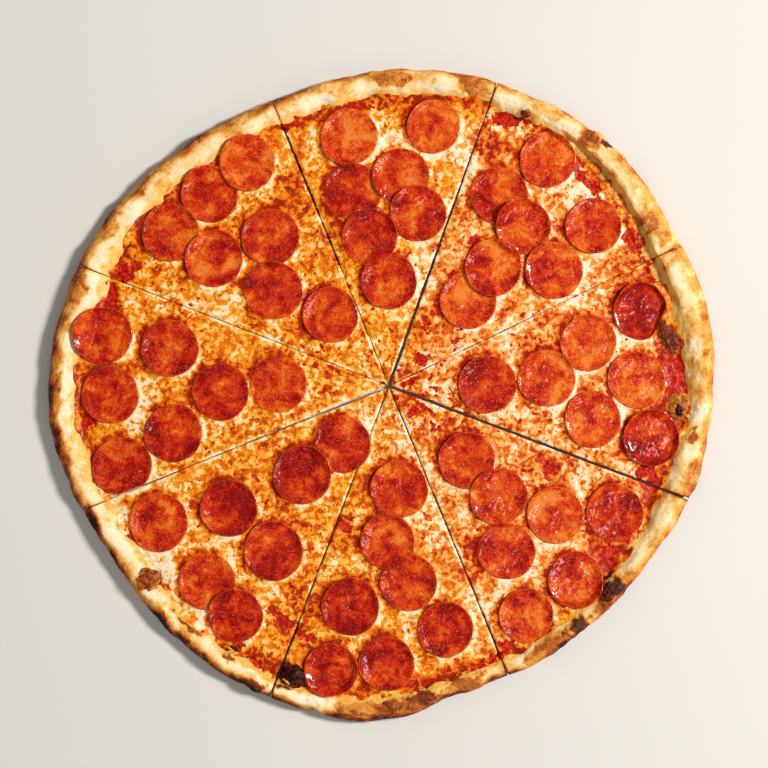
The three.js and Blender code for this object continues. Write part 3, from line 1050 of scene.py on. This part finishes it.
@dataclass
class Layer:
    """What the three layers of a slice have in common.

    Attributes:
        plan: Where the slice lies.
        dough: The form of the crust.
        material: The layer's material.
        columns: Gaps between the rays of its mesh; each layer has its own number.
        tip_gap: How far the mesh stops short of the tip, in millimetres.
        bottom: Height of its flat underside, in millimetres.
        spread: How far it has spread into the one wide cut, in millimetres.
        spread_cut: Direction of that cut, in radians.
        outset: How far the cut sides are moved outwards, in millimetres.
    """

    plan: SlicePlan
    dough: Dough
    material: bpy.types.Material
    columns: int = 140
    tip_gap: float = 0.5
    bottom: float = 0.0
    spread: float = 0.0
    spread_cut: float = math.radians(202.1)
    outset: float = 0.06

    def publish(self, part: str, places: Array, marks: dict[str, Array]) -> None:
        """Make the layer's piece, dress it and let it stand for its node.

        Args:
            part: The layer's name, which also names its node.
            places: Rows by columns by 3, in millimetres.
            marks: Numbers for the mesh to carry.
        """
        piece = sheet_of(f"{part}_{self.plan.number}", places, marks)
        piece.data.materials.append(self.material)
        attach(piece, "root")
        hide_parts(f"slice_{self.plan.number}_{part}")

    def edge_share(self, angle: Array) -> Array:
        """Share of the rim's width where the layer ends."""
        return np.zeros_like(angle)

    def edge(self) -> Array:
        """Distance from the tip to the layer's end on each ray, in millimetres."""
        dough, (_, direction) = self.dough, self.plan.rays(self.columns)

        def radius(angle: Array) -> Array:
            """Radius of the end about the pizza's middle."""
            return dough.radius(angle) - self.edge_share(angle) * dough.width(angle)

        return self.plan.reach(direction, radius)

    def out_to(self, end: Array, shares: Array) -> Array:
        """Distances from the tip at shares of the way to an end, rows by columns."""
        return self.tip_gap + (end - self.tip_gap) * shares[:, None]

    def lay(self, distance: Array, height: Array) -> Array:
        """Turn distances from the tip and heights into places.

        Args:
            distance: Rows by columns, in millimetres.
            height: Rows by columns, in millimetres.

        Returns:
            Rows by columns by 3.
        """
        _, direction = self.plan.rays(self.columns)
        plan = self.plan.tip + distance[:, :, None] * direction[None, :, :]
        return np.concatenate([plan, height[:, :, None]], axis=2)

    def plane(self, distance: Array) -> Array:
        """X and Y of the places at distances from the tip."""
        return np.moveaxis(self.lay(distance, np.zeros_like(distance)), 2, 0)[:2]

    def closed(self, distance: Array, height: Array, under: Array) -> Array:
        """Lay the upper side after a riser at the tip, and the flat underside after it.

        Args:
            distance: Distances of the upper side from the tip, rows by columns.
            height: Its heights, in the same form.
            under: Distances of the underside, in the same form.

        Returns:
            Rows by columns by 3.
        """
        riser = np.full((1, distance.shape[1]), self.tip_gap)
        levels = [np.full_like(riser, self.bottom), height, np.full_like(under, self.bottom)]
        return self.lay(np.concatenate([riser, distance, under]), np.concatenate(levels))

    def wobble(self, places: Array, depth: float) -> None:
        """Make the cut sides waver as a knife leaves them.

        Args:
            places: Places to change, rows by columns by 3.
            depth: How far the sides waver, in millimetres.
        """
        heading, _ = self.plan.rays(self.columns)
        for column, side in ((0, 1), (-1, -1)):
            x, y = places[:, column, 0], places[:, column, 1]
            sway = depth * 1.3 * ripple(x, y, 7, 300 + self.plan.number, 2)
            sway = sway - self.outset - self.stretch(x, y)
            sway = sway * smoothstep(2, 10, np.hypot(x - self.plan.tip[0], y - self.plan.tip[1]))
            places[:, column, 0] -= side * sway * math.sin(heading[column])
            places[:, column, 1] += side * sway * math.cos(heading[column])

    def stretch(self, x: Array, y: Array) -> Array:
        """Say how far melted cheese has spread into the one wide cut.

        Args:
            x, y: Places along X and Y, in millimetres.

        Returns:
            Distances, in millimetres.
        """
        across = np.abs(y * math.cos(self.spread_cut) - x * math.sin(self.spread_cut))
        bare = smoothstep(-134, -142, x) * smoothstep(-164, -156, x)
        side = smoothstep(-30.0, -55.0, x) * (1 - bare)
        return self.spread * smoothstep(5.0, 2.5, across) * side


@dataclass
class CrustLayer(Layer):
    """The baked dough of a slice: its thin base and its raised rim.

    Attributes:
        inside: Shares of the rim's width down its inner side, from the base to its crest.
        outside: Shares and heights round its outer side, from the crest to the table.
    """

    columns: int = 176
    inside: tuple = (1.0, 0.95, 0.9, 0.85, 0.8, 0.75, 0.7, 0.65, 0.6, 0.55, 0.5, 0.4, 0.3)
    outside: tuple = (
        (0.19, 0.945), (0.09, 0.8), (0.03, 0.62), (0.0, 0.43), (0.02, 0.22), (0.08, 0.07),
        (0.2, 0.0),
    )

    def build(self) -> None:
        """Build the slice's crust."""
        outer = self.edge()
        _, direction = self.plan.rays(self.columns)
        point = self.plan.tip + outer[:, None] * direction
        angle = np.arctan2(point[:, 1], point[:, 0])
        width, height = self.dough.width(angle), self.dough.height(angle)
        knot_shares = np.array([*self.inside, *(share for share, _ in self.outside)])
        inner = [self.dough.slope(np.full_like(angle, share), angle) for share in self.inside]
        knot_heights = np.stack(inner + [level * height for _, level in self.outside])
        steps = along([0.0, 12.0, 16.0, 19.0], [30, 18, 12])
        share = np.interp(steps, np.arange(len(knot_shares)), knot_shares)
        low = np.clip(np.floor(steps).astype(int), 0, len(knot_shares) - 2)
        part = (steps - low)[:, None]
        rim_height = knot_heights[low] * (1 - part) + knot_heights[low + 1] * part
        rim_distance = outer - share[:, None] * width
        base = self.out_to(outer - width, np.linspace(0, 1, 12, endpoint=False))
        under = self.out_to(outer - 0.2 * width, np.linspace(1, 0, 7)[1:])
        levels = np.concatenate([np.full_like(base, self.dough.base), rim_height])
        places = self.closed(np.concatenate([base, rim_distance]), levels, under)
        rim = np.zeros(len(places), dtype=bool)
        rim[len(base) + 2:len(base) + len(rim_distance)] = True
        flat, below = np.ones(1 + len(base)), np.full(len(under), -0.2)
        marks = self.shape_rim(places, rim, np.concatenate([flat, share, below]))
        self.wobble(places, 0.1)
        self.publish("crust", places, marks)

    def shape_rim(self, places: Array, rim: Array, section: Array) -> dict[str, Array]:
        """Raise lumps and blisters on the rim, and say how baked each place is, with painted shade
        added to the bake.

        Args:
            places: Places to change, rows by columns by 3.
            rim: Which rows belong to the rim.
            section: Share of the rim's width of each row.

        Returns:
            The numbers for the mesh to carry.
        """
        x, y, z = np.moveaxis(places, 2, 0)
        u, v = x + 0.7 * z, y - 0.7 * z
        share = np.broadcast_to(section[:, None], x.shape)
        normal = normals_of(places)
        lumps = 1.1 * ripple(u, v, 20, SEED + 4, 2) + 0.35 * ripple(u, v, 6, SEED + 5, 2)
        streak = self.streaks(x, y, z, share)
        lumps = lumps + cover_of(BLISTERS, x, y, 0.12) * smoothstep(1.02, 0.9, share)
        lumps = lumps + 0.3 * streak
        off_table = smoothstep(0.3, 4.0, z)
        amount = np.where(rim[:, None], lumps * off_table, 0.0)
        crinkle = np.where(rim[:, None], 0.12 * ripple(u, v, 1.8, SEED + 6) * off_table, 0.0)
        crinkle = crinkle * (1 + 5 * cover_of(SCORCHES, x, y))
        places += normal * (amount + crinkle)[:, :, None]
        places[:, :, 2] = np.maximum(places[:, :, 2], 0.0)
        angle = np.arctan2(y, x)
        # Weight towards the side away from the key light. In the bake it is partly real browning of
        # that side and partly painted shade; in the oil it marks where more oil lies.
        away_from_light = 0.5 - 0.5 * np.cos(angle - math.radians(40))
        band = smoothstep(0.5, 0.06, share + 0.16 * ripple(u, v, 14, SEED + 7, 2))
        low = smoothstep(7.0, 2.0, z) * (share < 0.4) * 0.12
        bake = 0.17 - 0.08 * away_from_light + (0.2 + 0.38 * away_from_light) * band + low
        bake = bake + 0.2 * ripple(u, v, 20, SEED + 8, 2) + 0.08 * smoothstep(0.6, 0.8, share)
        bake = bake + 0.07 * streak
        under = smoothstep(-0.05, -0.15, share)
        bake = bake * (1 - under) + 0.37 * under
        bake = np.maximum(bake, cover_of(TOASTS, x, y, 0.35) * smoothstep(0.95, 0.7, share))
        ledge = self.dough.ledge(angle)
        reach = share + 0.12 * ledge + 0.16 * ripple(x, y, 10, SEED + 10, 3)
        oil = smoothstep(0.58, 0.8, reach) * (0.5 + 0.5 * away_from_light)
        # Painted shade: in the gutter below the ledge's wall, which lies in shade, the dough is
        # made browner and oilier.
        gutter_shade = ledge * smoothstep(0.5, 0.62, share)
        bake, oil = bake + 0.2 * gutter_shade, np.maximum(oil, 0.3 * gutter_shade)
        char = cover_of(SCORCHES, x, y, 0.5) * smoothstep(2.0, 6.0, z)
        # Painted shade: darker dough along the cuts, standing in for the shade in the narrow cut.
        bake = bake + 0.26 * smoothstep(1.3, 0.2, self.plan.cut_distance(x, y))
        oil = oil * smoothstep(0.3, 0.5, share)
        return {"bake": bake, "char": char, "oil": oil, "under": under}

    def streaks(self, x: Array, y: Array, z: Array, share: Array) -> Array:
        """Waves that run along the rim, as stretched dough has, from about -1 to 1."""
        turned = (np.arctan2(y, x) - self.plan.start + 0.5) % TURN - 0.5
        return ripple(48 * turned, 20 * share + 0.8 * z, 3.4, SEED + 11 + self.plan.number, 2)


@dataclass
class SauceLayer(Layer):
    """The tomato sauce of a slice, which peeps out between cheese and rim.

    Attributes:
        top: Height of its upper side, in millimetres.
        lip: Share of the rim's width where it ends, without its waves.
    """

    columns: int = 96
    bottom: float = 3.9
    top: float = 5.3
    lip: float = 0.92

    def build(self) -> None:
        """Build the slice's sauce."""
        edge = self.edge()
        distance = self.out_to(edge, along([0.0, 0.85, 1.0], [34, 22]))
        x, y = self.plane(distance)
        floor = self.dough.top(x, y)
        thin = smoothstep(0.0, 3.0, edge - distance)
        height = np.maximum(self.top, floor + 0.1 + 0.4 * thin)
        height = height + 0.2 * ripple(x, y, 2.6, SEED + 20, 2) * thin
        height[-1] = floor[-1] - 0.2
        under = self.out_to(edge - 3.0, np.linspace(1, 0, 6))
        places = self.closed(distance, height, under)
        self.wobble(places, 0.15)
        self.publish("sauce", places, {})

    def edge_share(self, angle: Array) -> Array:
        """Share of the rim's width where the sauce ends."""
        return self.lip + 0.09 * ring_ripple(angle, EDGE_RADIUS, 9, SEED + 21, 2)


@dataclass
class CheeseLayer(Layer):
    """The melted cheese of a slice, pitted and mottled.

    Attributes:
        rows: Gaps between the rows of its upper side.
        level: Height of its upper side, in millimetres.
    """

    columns: int = 144
    rows: int = 236
    bottom: float = 5.2
    level: float = 7.5
    spread: float = 0.55

    def build(self) -> None:
        """Build the slice's cheese."""
        edge = self.edge()
        distance = self.out_to(edge, np.linspace(0, 1, self.rows + 1))
        x, y = self.plane(distance)
        marks = self.mottle(x, y)
        floor = self.dough.top(x, y)
        thin = smoothstep(0.0, 5.0, edge - distance + 0.8 * ripple(x, y, 4, SEED + 31))
        height = self.smooth_top(x, y, floor, thin)
        height = height + self.relief(x, y, marks) * (0.25 + 0.75 * thin)
        cut = self.plan.cut_distance(x, y)
        height = height + 0.75 * self.fringe(x, y) * thin - 0.8 * np.exp(-np.maximum(cut, 0) / 0.7)
        height[-1] = floor[-1] + 0.1
        under = self.out_to(edge - 4.0, np.linspace(1, 0, 5))
        places = self.closed(distance, height, under)
        self.wobble(places[1:-len(under)], 0.25)
        for key, values in marks.items():
            marks[key] = np.pad(values, ((1, len(under)), (0, 0)), mode="edge")
        self.publish("cheese", places, marks)

    def edge_share(self, angle: Array) -> Array:
        """Share of the rim's width where the cheese ends.

        Args:
            angle: Directions, in radians.

        Returns:
            The shares.
        """
        x, y = EDGE_RADIUS * np.cos(angle), EDGE_RADIUS * np.sin(angle)
        ledge = 0.15 * self.dough.ledge(angle)
        bare = 0.2 * cover_of(SAUCE_SPOTS, x, y, 0.4)
        return 0.8 - ledge + 0.1 * ripple(x, y, 14, SEED + 30, 2) + bare

    def smooth_top(self, x: Array, y: Array, floor: Array, thin: Array) -> Array:
        """Height of the cheese without its fine relief.

        Args:
            x, y: Places along X and Y, in millimetres.
            floor: Height of the crust below.
            thin: How far the cheese has its full thickness, from 0 to 1.

        Returns:
            Heights, in millimetres.
        """
        waves = 0.35 * ripple(x, y, 40, SEED + 32, 2)
        full = (self.level + waves) * thin + (1 - thin) * (floor + 0.4)
        return np.maximum(floor + 0.35 + 1.2 * thin, full)

    def relief(self, x: Array, y: Array, marks: dict[str, Array]) -> Array:
        """Height of the blobs and pits under the marks of the mesh, in millimetres."""
        blobs = 0.34 * ripple(x, y, 6, SEED + 33, 3)
        return blobs + 0.5 * (marks["tone"] - 0.5) - 0.7 * marks["red"] + 0.25 * marks["burn"]

    def fringe(self, x: Array, y: Array) -> Array:
        """Say where cheese has risen against the edge of a round.

        Args:
            x, y: Places along X and Y, in millimetres.

        Returns:
            From 0 to 1 at the edges.
        """
        risen = np.zeros_like(x)
        for disc in EVERY_ROUND:
            risen = np.maximum(risen, np.exp(-((disc.gap(x, y) - 0.3) / 2.0) ** 2))
        return risen

    def mottle(self, x: Array, y: Array) -> dict[str, Array]:
        """Say how pale, red and burnt the cheese is at each place, with painted light and shade
        beside the rounds and along the cuts.

        Args:
            x, y: Places along X and Y, in millimetres.

        Returns:
            The numbers for the mesh to carry.
        """
        tone = 0.5 + 0.08 * ripple(x, y, 38, SEED + 34, 2) + 0.24 * ripple(x, y, 11, SEED + 35)
        tone = tone + 0.1 * ripple(x, y, 5, SEED + 36)
        mild = cover_of(MILD, x, y, 0.7)
        tone = tone + 0.28 * mild - 0.25 * cover_of(RICH, x, y, 0.7)
        from_left = x - 0.3 * np.abs(y) + 30 * ripple(x, y, 45, SEED + 37, 2)
        gold = 0.12 + 0.88 * smoothstep(75, -55, from_left) - 0.4 * mild
        tone = tone - 0.09 * gold
        pale, grease_and_shadow = np.zeros_like(x), np.zeros_like(x)
        # Painted light and shade beside each round: the paler cheese on the side facing the key
        # light is painted light; the darker cheese on the side away from it is grease together with
        # painted shadow.
        for disc in EVERY_ROUND:
            dx, dy = x - disc.x, y - disc.y
            gap = disc.gap(x, y)
            lit = (dx * 0.8 - dy * 0.6) / np.maximum(np.hypot(dx, dy), 1)
            pale = np.maximum(pale, smoothstep(4.5, 0.5, gap) * smoothstep(-0.1, 0.7, lit))
            grease_and_shadow = np.maximum(grease_and_shadow, smoothstep(5.5, 0.3, gap) * smoothstep(0.25, -0.6, lit))
        tone = tone + 0.24 * pale - (0.36 + 0.3 * ripple(x, y, 9, SEED + 41, 2)) * grease_and_shadow
        cut = self.plan.cut_distance(x, y)
        # Painted highlight: paler cheese along the rounded edges at the cuts.
        lip = smoothstep(2.2, 0.6, cut) * smoothstep(-0.1, 0.4, ripple(x, y, 14, SEED + 38, 2))
        tone = tone + 0.3 * lip
        share = self.dough.share_at(x, y)
        toe = smoothstep(1.6, 1.0, share) * (1 - np.minimum(mild, 1))
        tone, gold = tone - 0.21 * toe, gold + 0.6 * toe
        red = cover_of(SAUCE_SPOTS, x, y, 0.8)
        seep = ripple(x, y, 5.0, SEED + 39, 2) + 0.5 * ripple(x, y, 40, SEED + 40)
        red = np.maximum(red, 0.8 * smoothstep(0.4, 0.75, seep - 0.002 * np.hypot(x, y)))
        burn = cover_of(SCORCHES, x, y, 0.3)
        return {"tone": tone, "gold": gold, "red": red, "burn": burn}


@dataclass
class Pepperoni:
    """All the pepperoni rounds, each draped over what it lies on.

    Attributes:
        dough: The form of the crust.
        material: Their material.
        around: Corners round a round's edge.
        cheese_level: Height of the cheese, in millimetres.
        sink: How deep a round lies in the cheese, in millimetres.
        draping: How far outside a lower round an upper one starts to rise, in millimetres.
        trees: The rounds' nodes by name, for casting rays at them.
    """

    dough: Dough
    material: bpy.types.Material
    around: int = 88
    cheese_level: float = 7.6
    sink: float = 0.7
    draping: float = 3.0
    trees: dict[str, BVHTree] = field(default_factory=dict)

    def build(self, plans: list[SlicePlan]) -> None:
        """Build every round.

        Args:
            plans: Where the slices lie.
        """
        for name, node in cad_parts.items():
            if "_pepperoni_" in name:
                self.trees[name] = tree_of(node)
        for plan, rounds in zip(plans, ROUNDS):
            for place in range(len(rounds)):
                self.build_round(plan, rounds, place)

    def node_under(self, number: int, disc: Round) -> str:
        """Name the node of a slice that holds a round.

        Args:
            number: The slice's number.
            disc: The round.

        Returns:
            The node's name.
        """
        start = Vector((disc.x * MM, disc.y * MM, 0.1))
        for name, tree in self.trees.items():
            if name.startswith(f"slice_{number}_") and tree.ray_cast(start, DOWN)[0]:
                return name
        raise ValueError(f"no node under the round at {disc.x}, {disc.y}")

    def support(self, x: Array, y: Array) -> Array:
        """Height of the cheese or rim below the rounds.

        Args:
            x, y: Places along X and Y, in millimetres.

        Returns:
            Heights, in millimetres.
        """
        share = self.dough.share_at(x, y)
        rim = self.dough.slope(np.clip(share, self.dough.shares[0], 1.0), np.arctan2(y, x))
        slope = np.where(share < 1, rim + 0.8 + 1.1 * smoothstep(0.6, 0.78, share), 0.0)
        flat = self.cheese_level + 0.35 * ripple(x, y, 40, SEED + 32, 2)
        return np.maximum(flat, slope)

    @staticmethod
    def lift(disc: Round, x: Array, y: Array, covered: Array) -> Array:
        """How far a round's surface curls above what it lies on.

        Args:
            disc: The round.
            x, y: Places along X and Y, in millimetres.
            covered: Where another round presses on it, from 0 to 1.

        Returns:
            Heights, in millimetres.
        """
        dx, dy = x - disc.x, y - disc.y
        share = 2 * np.hypot(dx, dy) / disc.size
        angle = np.arctan2(dy, dx)
        phase = disc.x * 0.7 + disc.y * 1.3
        swing = 1 + 0.35 * np.cos(angle - phase) + 0.25 * np.cos(2 * angle + phase)
        swing = swing + 0.12 * np.cos(5 * angle)
        curl = disc.lie.value * swing * smoothstep(0.66, 1.12, share) * 1.5
        dimple = 0.5 * ripple(x, y, 12, SEED + 50)
        return curl * (1 - 0.85 * covered) + dimple

    def build_round(self, plan: SlicePlan, rounds: tuple[Round, ...], place: int) -> None:
        """Build one round.

        Args:
            plan: Where its slice lies.
            rounds: The rounds of its slice, lowest first.
            place: Its place among them.
        """
        disc, half = rounds[place], ROUND_THICKNESS / 2
        radius = disc.size / 2
        inset = half / radius
        top_shares = along([0.0, 0.6, 1.0], [8, 14])
        turns = np.linspace(0, math.pi, 6)[1:-1]
        low_shares = along([1.0, 0.75, 0.0], [3, 2])
        side = 1 - inset + np.sin(turns) * half / radius
        shares = np.clip(np.concatenate([top_shares - inset, side, low_shares - inset]), 0, 1)
        levels = [np.full(len(top_shares), ROUND_THICKNESS), half + half * np.cos(turns)]
        offsets = np.concatenate([*levels, np.zeros(len(low_shares))])[:, None]
        angle = TURN * np.arange(self.around + 1) / self.around
        angle[-1] = 0.0
        key = plan.number * 10 + place
        lobes = 1 + 0.012 * np.cos(2 * angle + key) + 0.009 * np.cos(3 * angle + 2.1 * key)
        lobes = lobes + 0.006 * np.cos(7 * angle + key)
        x = disc.x + radius * disc.squeeze * shares[:, None] * lobes * np.cos(angle)
        y = disc.y + radius * shares[:, None] * lobes * np.sin(angle)
        pressing = self.cover((disc,), x, y)
        mound = np.zeros_like(x)
        for lower in rounds[:place]:
            height = self.lift(lower, x, y, pressing) + ROUND_THICKNESS
            mound = np.maximum(mound, height * smoothstep(-self.draping, 0.8, -lower.gap(x, y)))
        lift = np.maximum(self.lift(disc, x, y, self.cover(rounds[place + 1:], x, y)), 0.0)
        z = self.support(x, y) - self.sink + lift + mound + offsets
        z = z + np.where(offsets > half, 0.16 * ripple(x, y, 2.4, SEED + 51, 2), 0.0)
        x, y, z = self.fold(disc, x, y, z)
        places = np.stack([x, y, z], axis=2)
        places[0] = places[0].mean(axis=0)
        places[-1] = places[-1].mean(axis=0)
        if (plan.number - 1, place) != OVERHANG:
            self.trim(plan, places)
        chance = 0.1 * (lattice(np.array(key), np.array(3), 5) - 0.5)
        marks = {
            "share": np.broadcast_to(shares[:, None], x.shape),
            "dark": 0.22 * disc.dark + 0.22 * smoothstep(0.3, 2.0, mound) + chance,
        }
        piece = sheet_of(f"pepperoni_{plan.number}_{place + 1}", places, marks)
        piece.data.materials.append(self.material)
        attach(piece, "root")
        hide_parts(self.node_under(plan.number, disc))

    @staticmethod
    def fold(disc: Round, x: Array, y: Array, z: Array) -> tuple:
        """Fold up the edge of a round on one side.

        Args:
            disc: The round.
            x, y: Places along X and Y, in millimetres.
            z: Heights, in millimetres.

        Returns:
            The places after folding.
        """
        turn = math.radians(disc.fold)
        past = (x - disc.x) * math.cos(turn) + (y - disc.y) * math.sin(turn)
        past = np.maximum(past - disc.fold_at * disc.size / 2, 0.0)
        back = past - (past - 3.0 * (1 - np.exp(-past / 6.0))) * 0.35
        return x - back * math.cos(turn), y - back * math.sin(turn), z + 0.3 * past

    @staticmethod
    def cover(discs: tuple[Round, ...], x: Array, y: Array) -> Array:
        """Say where rounds lie, from 0 to 1.

        Args:
            discs: The rounds.
            x, y: Places along X and Y, in millimetres.

        Returns:
            Their cover.
        """
        cover = np.zeros_like(x)
        for disc in discs:
            cover = np.maximum(cover, smoothstep(-1.5, 1.5, -disc.gap(x, y)))
        return cover

    @staticmethod
    def trim(plan: SlicePlan, places: Array) -> None:
        """Move what lies past the slice's cuts back onto them.

        Args:
            plan: Where the slice lies.
            places: Places to change, rows by columns by 3.
        """
        for heading, side in ((plan.start, 1), (plan.start + plan.turn, -1)):
            normal = np.array([-math.sin(heading), math.cos(heading)]) * side
            inside = (places[:, :, :2] - plan.tip) @ normal
            places[:, :, :2] -= np.minimum(inside - 0.1, 0)[:, :, None] * normal


@dataclass(frozen=True)
class Blob:
    """A burnt bubble, half sunk in the slice that it lies on.

    Attributes:
        slice_number: The slice.
        x: Centre along X, in millimetres.
        y: Centre along Y, in millimetres.
        long: Half length, in millimetres.
        wide: Half width, in millimetres.
        tall: Height above what it lies on, in millimetres.
        turn: Direction of its length, in degrees.
        pale: How brown instead of black it is, from 0 to 1.
        on_cheese: Whether it lies on the cheese instead of the rim.
        sink: How deep its middle lies in what it lies on, in millimetres.
        belly: Height of its lower half, in millimetres.
        least_ground: Lowest ground that it may have, in millimetres.
    """

    slice_number: int
    x: float
    y: float
    long: float
    wide: float
    tall: float
    turn: float
    pale: float
    on_cheese: bool = False
    sink: float = 0.6
    belly: float = 2.0
    least_ground: float = 7.2

    def build(self, dough: Dough, material: bpy.types.Material) -> None:
        """Build the bubble.

        Args:
            dough: The form of the crust.
            material: Its material.
        """
        select_none()
        bpy.ops.mesh.primitive_uv_sphere_add(segments=72, ring_count=48, radius=1)
        piece = bpy.context.object
        piece.name = f"bubble_{self.slice_number}_{abs(round(self.x))}_{abs(round(self.y))}"
        mesh = piece.data
        unit = np.empty((len(mesh.vertices), 3))
        mesh.vertices.foreach_get("co", unit.ravel())
        angle = math.radians(self.turn)
        ux, uy, uz = unit.T
        waves = 1 + 0.16 * ripple(4 * ux + 7, 4 * uy + 3 * uz, 2.6, 500 + int(self.x), 3)
        along_it, across = ux * self.long * waves, uy * self.wide * waves
        x = self.x + along_it * math.cos(angle) - across * math.sin(angle)
        y = self.y + along_it * math.sin(angle) + across * math.cos(angle)
        centre = np.array([self.x]), np.array([self.y])
        ground = max(self.least_ground, float(dough.top(*centre)[0])) - self.sink
        z = ground + uz * self.tall * waves + 0.35 * ripple(x, y, 2.2, 520, 2)
        z = np.where(uz < 0, ground + uz * self.belly, z)
        mesh.vertices.foreach_set("co", (np.stack([x, y, z], axis=1) * MM).ravel())
        layer = mesh.attributes.new("pale", "FLOAT", "POINT")
        ring = smoothstep(0.7, 0.2, uz) * 0.16
        layer.data.foreach_set("value", (self.pale + ring).astype(np.float32))
        mesh.update()
        bpy.ops.object.shade_smooth()
        mesh.materials.append(material)
        LOG.info("%s has %d faces", piece.name, len(mesh.polygons))
        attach(piece, "root")
        part = "cheese" if self.on_cheese else "crust"
        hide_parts(f"slice_{self.slice_number}_{part}")


BUBBLES = (
    Blob(7, -60, -190, 9.3, 8.6, 5, 20, 0.3), Blob(7, -61, -189, 5.5, 5, 5.4, 20, 0.14),
    Blob(1, 200.5, -7, 9.2, 7.4, 3.6, 75, 0.72, True),
    Blob(1, 200.5, -9, 5.6, 4.2, 4.4, 75, 0.3, True),
    Blob(1, 193.5, 40.5, 13.5, 5.4, 2.2, -60, 0.5, True),
    Blob(6, -157, -123.5, 8.4, 7.2, 2.2, 30, 0.6), Blob(6, -152, -123, 3.6, 5.2, 2.5, 20, 0.36),
    Blob(8, 153, -134.5, 4.6, 3.8, 1.8, 40, 0.42, True),
    Blob(2, 97.5, 190.5, 4.2, 3.2, 1.6, 20, 0.5, True),
)


# ------------------------------------------------------------------ stage

class Shows(Enum):
    """On which surfaces a lamp's light is seen."""

    ALL = "all"
    MATTE = "matte"
    GLOSS = "gloss"


@dataclass(frozen=True)
class Stage:
    """Floor, light and camera.

    Attributes:
        view_width: Width of the picture on the pizza, in metres.
        middle: Where the picture's centre lies on the pizza, in metres.
        lens: Focal length, in millimetres.
        sensor: Width of the camera's sensor, in millimetres.
    """

    view_width: float = 0.519
    middle: tuple[float, float, float] = (0.0017, 0.0078, 0.007)
    lens: float = 85.0
    sensor: float = 36.0

    def build(self) -> None:
        """Set up the whole stage."""
        self.lay_floor()
        self.set_light()
        self.set_camera()

    def lay_floor(self) -> None:
        """Lay a plain pale floor under the crust."""
        select_none()
        bpy.ops.mesh.primitive_plane_add(size=6, location=(0, 0, -0.0002))
        floor = bpy.context.object
        floor.name = "floor"
        floor.data.materials.append(PlainFinish().make())

    @staticmethod
    def add_lamp(
        name: str, place: tuple, size: float, power: float, tint: tuple, shows: Shows
    ) -> None:
        """Add a soft square lamp that faces the pizza.

        Args:
            name: Its name.
            place: Where it hangs, in metres.
            size: Its width, in metres.
            power: Its power, in watts.
            tint: Its colour.
            shows: Where its light is seen.
        """
        lamp = bpy.data.lights.new(name, "AREA")
        lamp.size = size
        lamp.energy = power
        lamp.color = tint
        holder = bpy.data.objects.new(name, lamp)
        holder.location = place
        holder.visible_glossy = shows is not Shows.MATTE
        holder.visible_diffuse = shows is not Shows.GLOSS
        holder.rotation_euler = (-Vector(place)).to_track_quat("-Z", "Y").to_euler()
        bpy.context.scene.collection.objects.link(holder)

    def set_light(self) -> None:
        """Hang the lamps and light the room evenly."""
        self.add_lamp("key", (2.04, 0.5, 2.0), 0.5, 100.0, (1.0, 0.97, 0.93), Shows.ALL)
        self.add_lamp("fill left", (-2.6, 1.0, 1.6), 3.5, 31.0, (1.0, 0.96, 0.91), Shows.MATTE)
        self.add_lamp("fill front", (0.3, -2.8, 1.7), 3.0, 25.0, (1.0, 0.96, 0.91), Shows.MATTE)
        self.add_lamp("sheen", (2.0, -0.7, 5.2), 1.6, 72.0, (1.0, 0.94, 0.87), Shows.GLOSS)
        world = bpy.data.worlds.new("room")
        world.use_nodes = True
        background = world.node_tree.nodes["Background"]
        background.inputs["Color"].default_value = (1.0, 0.95, 0.88, 1.0)
        background.inputs["Strength"].default_value = 0.1
        bpy.context.scene.world = world
        bpy.context.scene.view_settings.view_transform = "Standard"

    def set_camera(self) -> None:
        """Look straight down at the pizza."""
        camera = bpy.data.cameras.new("camera")
        camera.lens = self.lens
        camera.sensor_width = self.sensor
        holder = bpy.data.objects.new("camera", camera)
        distance = self.view_width * self.lens / self.sensor
        holder.location = Vector(self.middle) + Vector((0, 0, distance))
        bpy.context.scene.collection.objects.link(holder)
        bpy.context.scene.camera = holder


# ------------------------------------------------------------------ assembly

def main() -> None:
    """Build the pizza and its stage."""
    logging.basicConfig(level=logging.INFO)
    dough = Dough.survey()
    plans = [SlicePlan.survey(number) for number in range(1, SLICES + 1)]
    crust, sauce = CrustFinish().make(), SauceFinish().make()
    cheese, pepperoni = CheeseFinish().make(), PepperoniFinish().make()
    for plan in plans:
        CrustLayer(plan, dough, crust).build()
        SauceLayer(plan, dough, sauce).build()
        CheeseLayer(plan, dough, cheese).build()
    Pepperoni(dough, pepperoni).build(plans)
    char = CharFinish().make()
    for blob in BUBBLES:
        blob.build(dough, char)
    Stage().build()


if __name__ == "__main__":
    main()
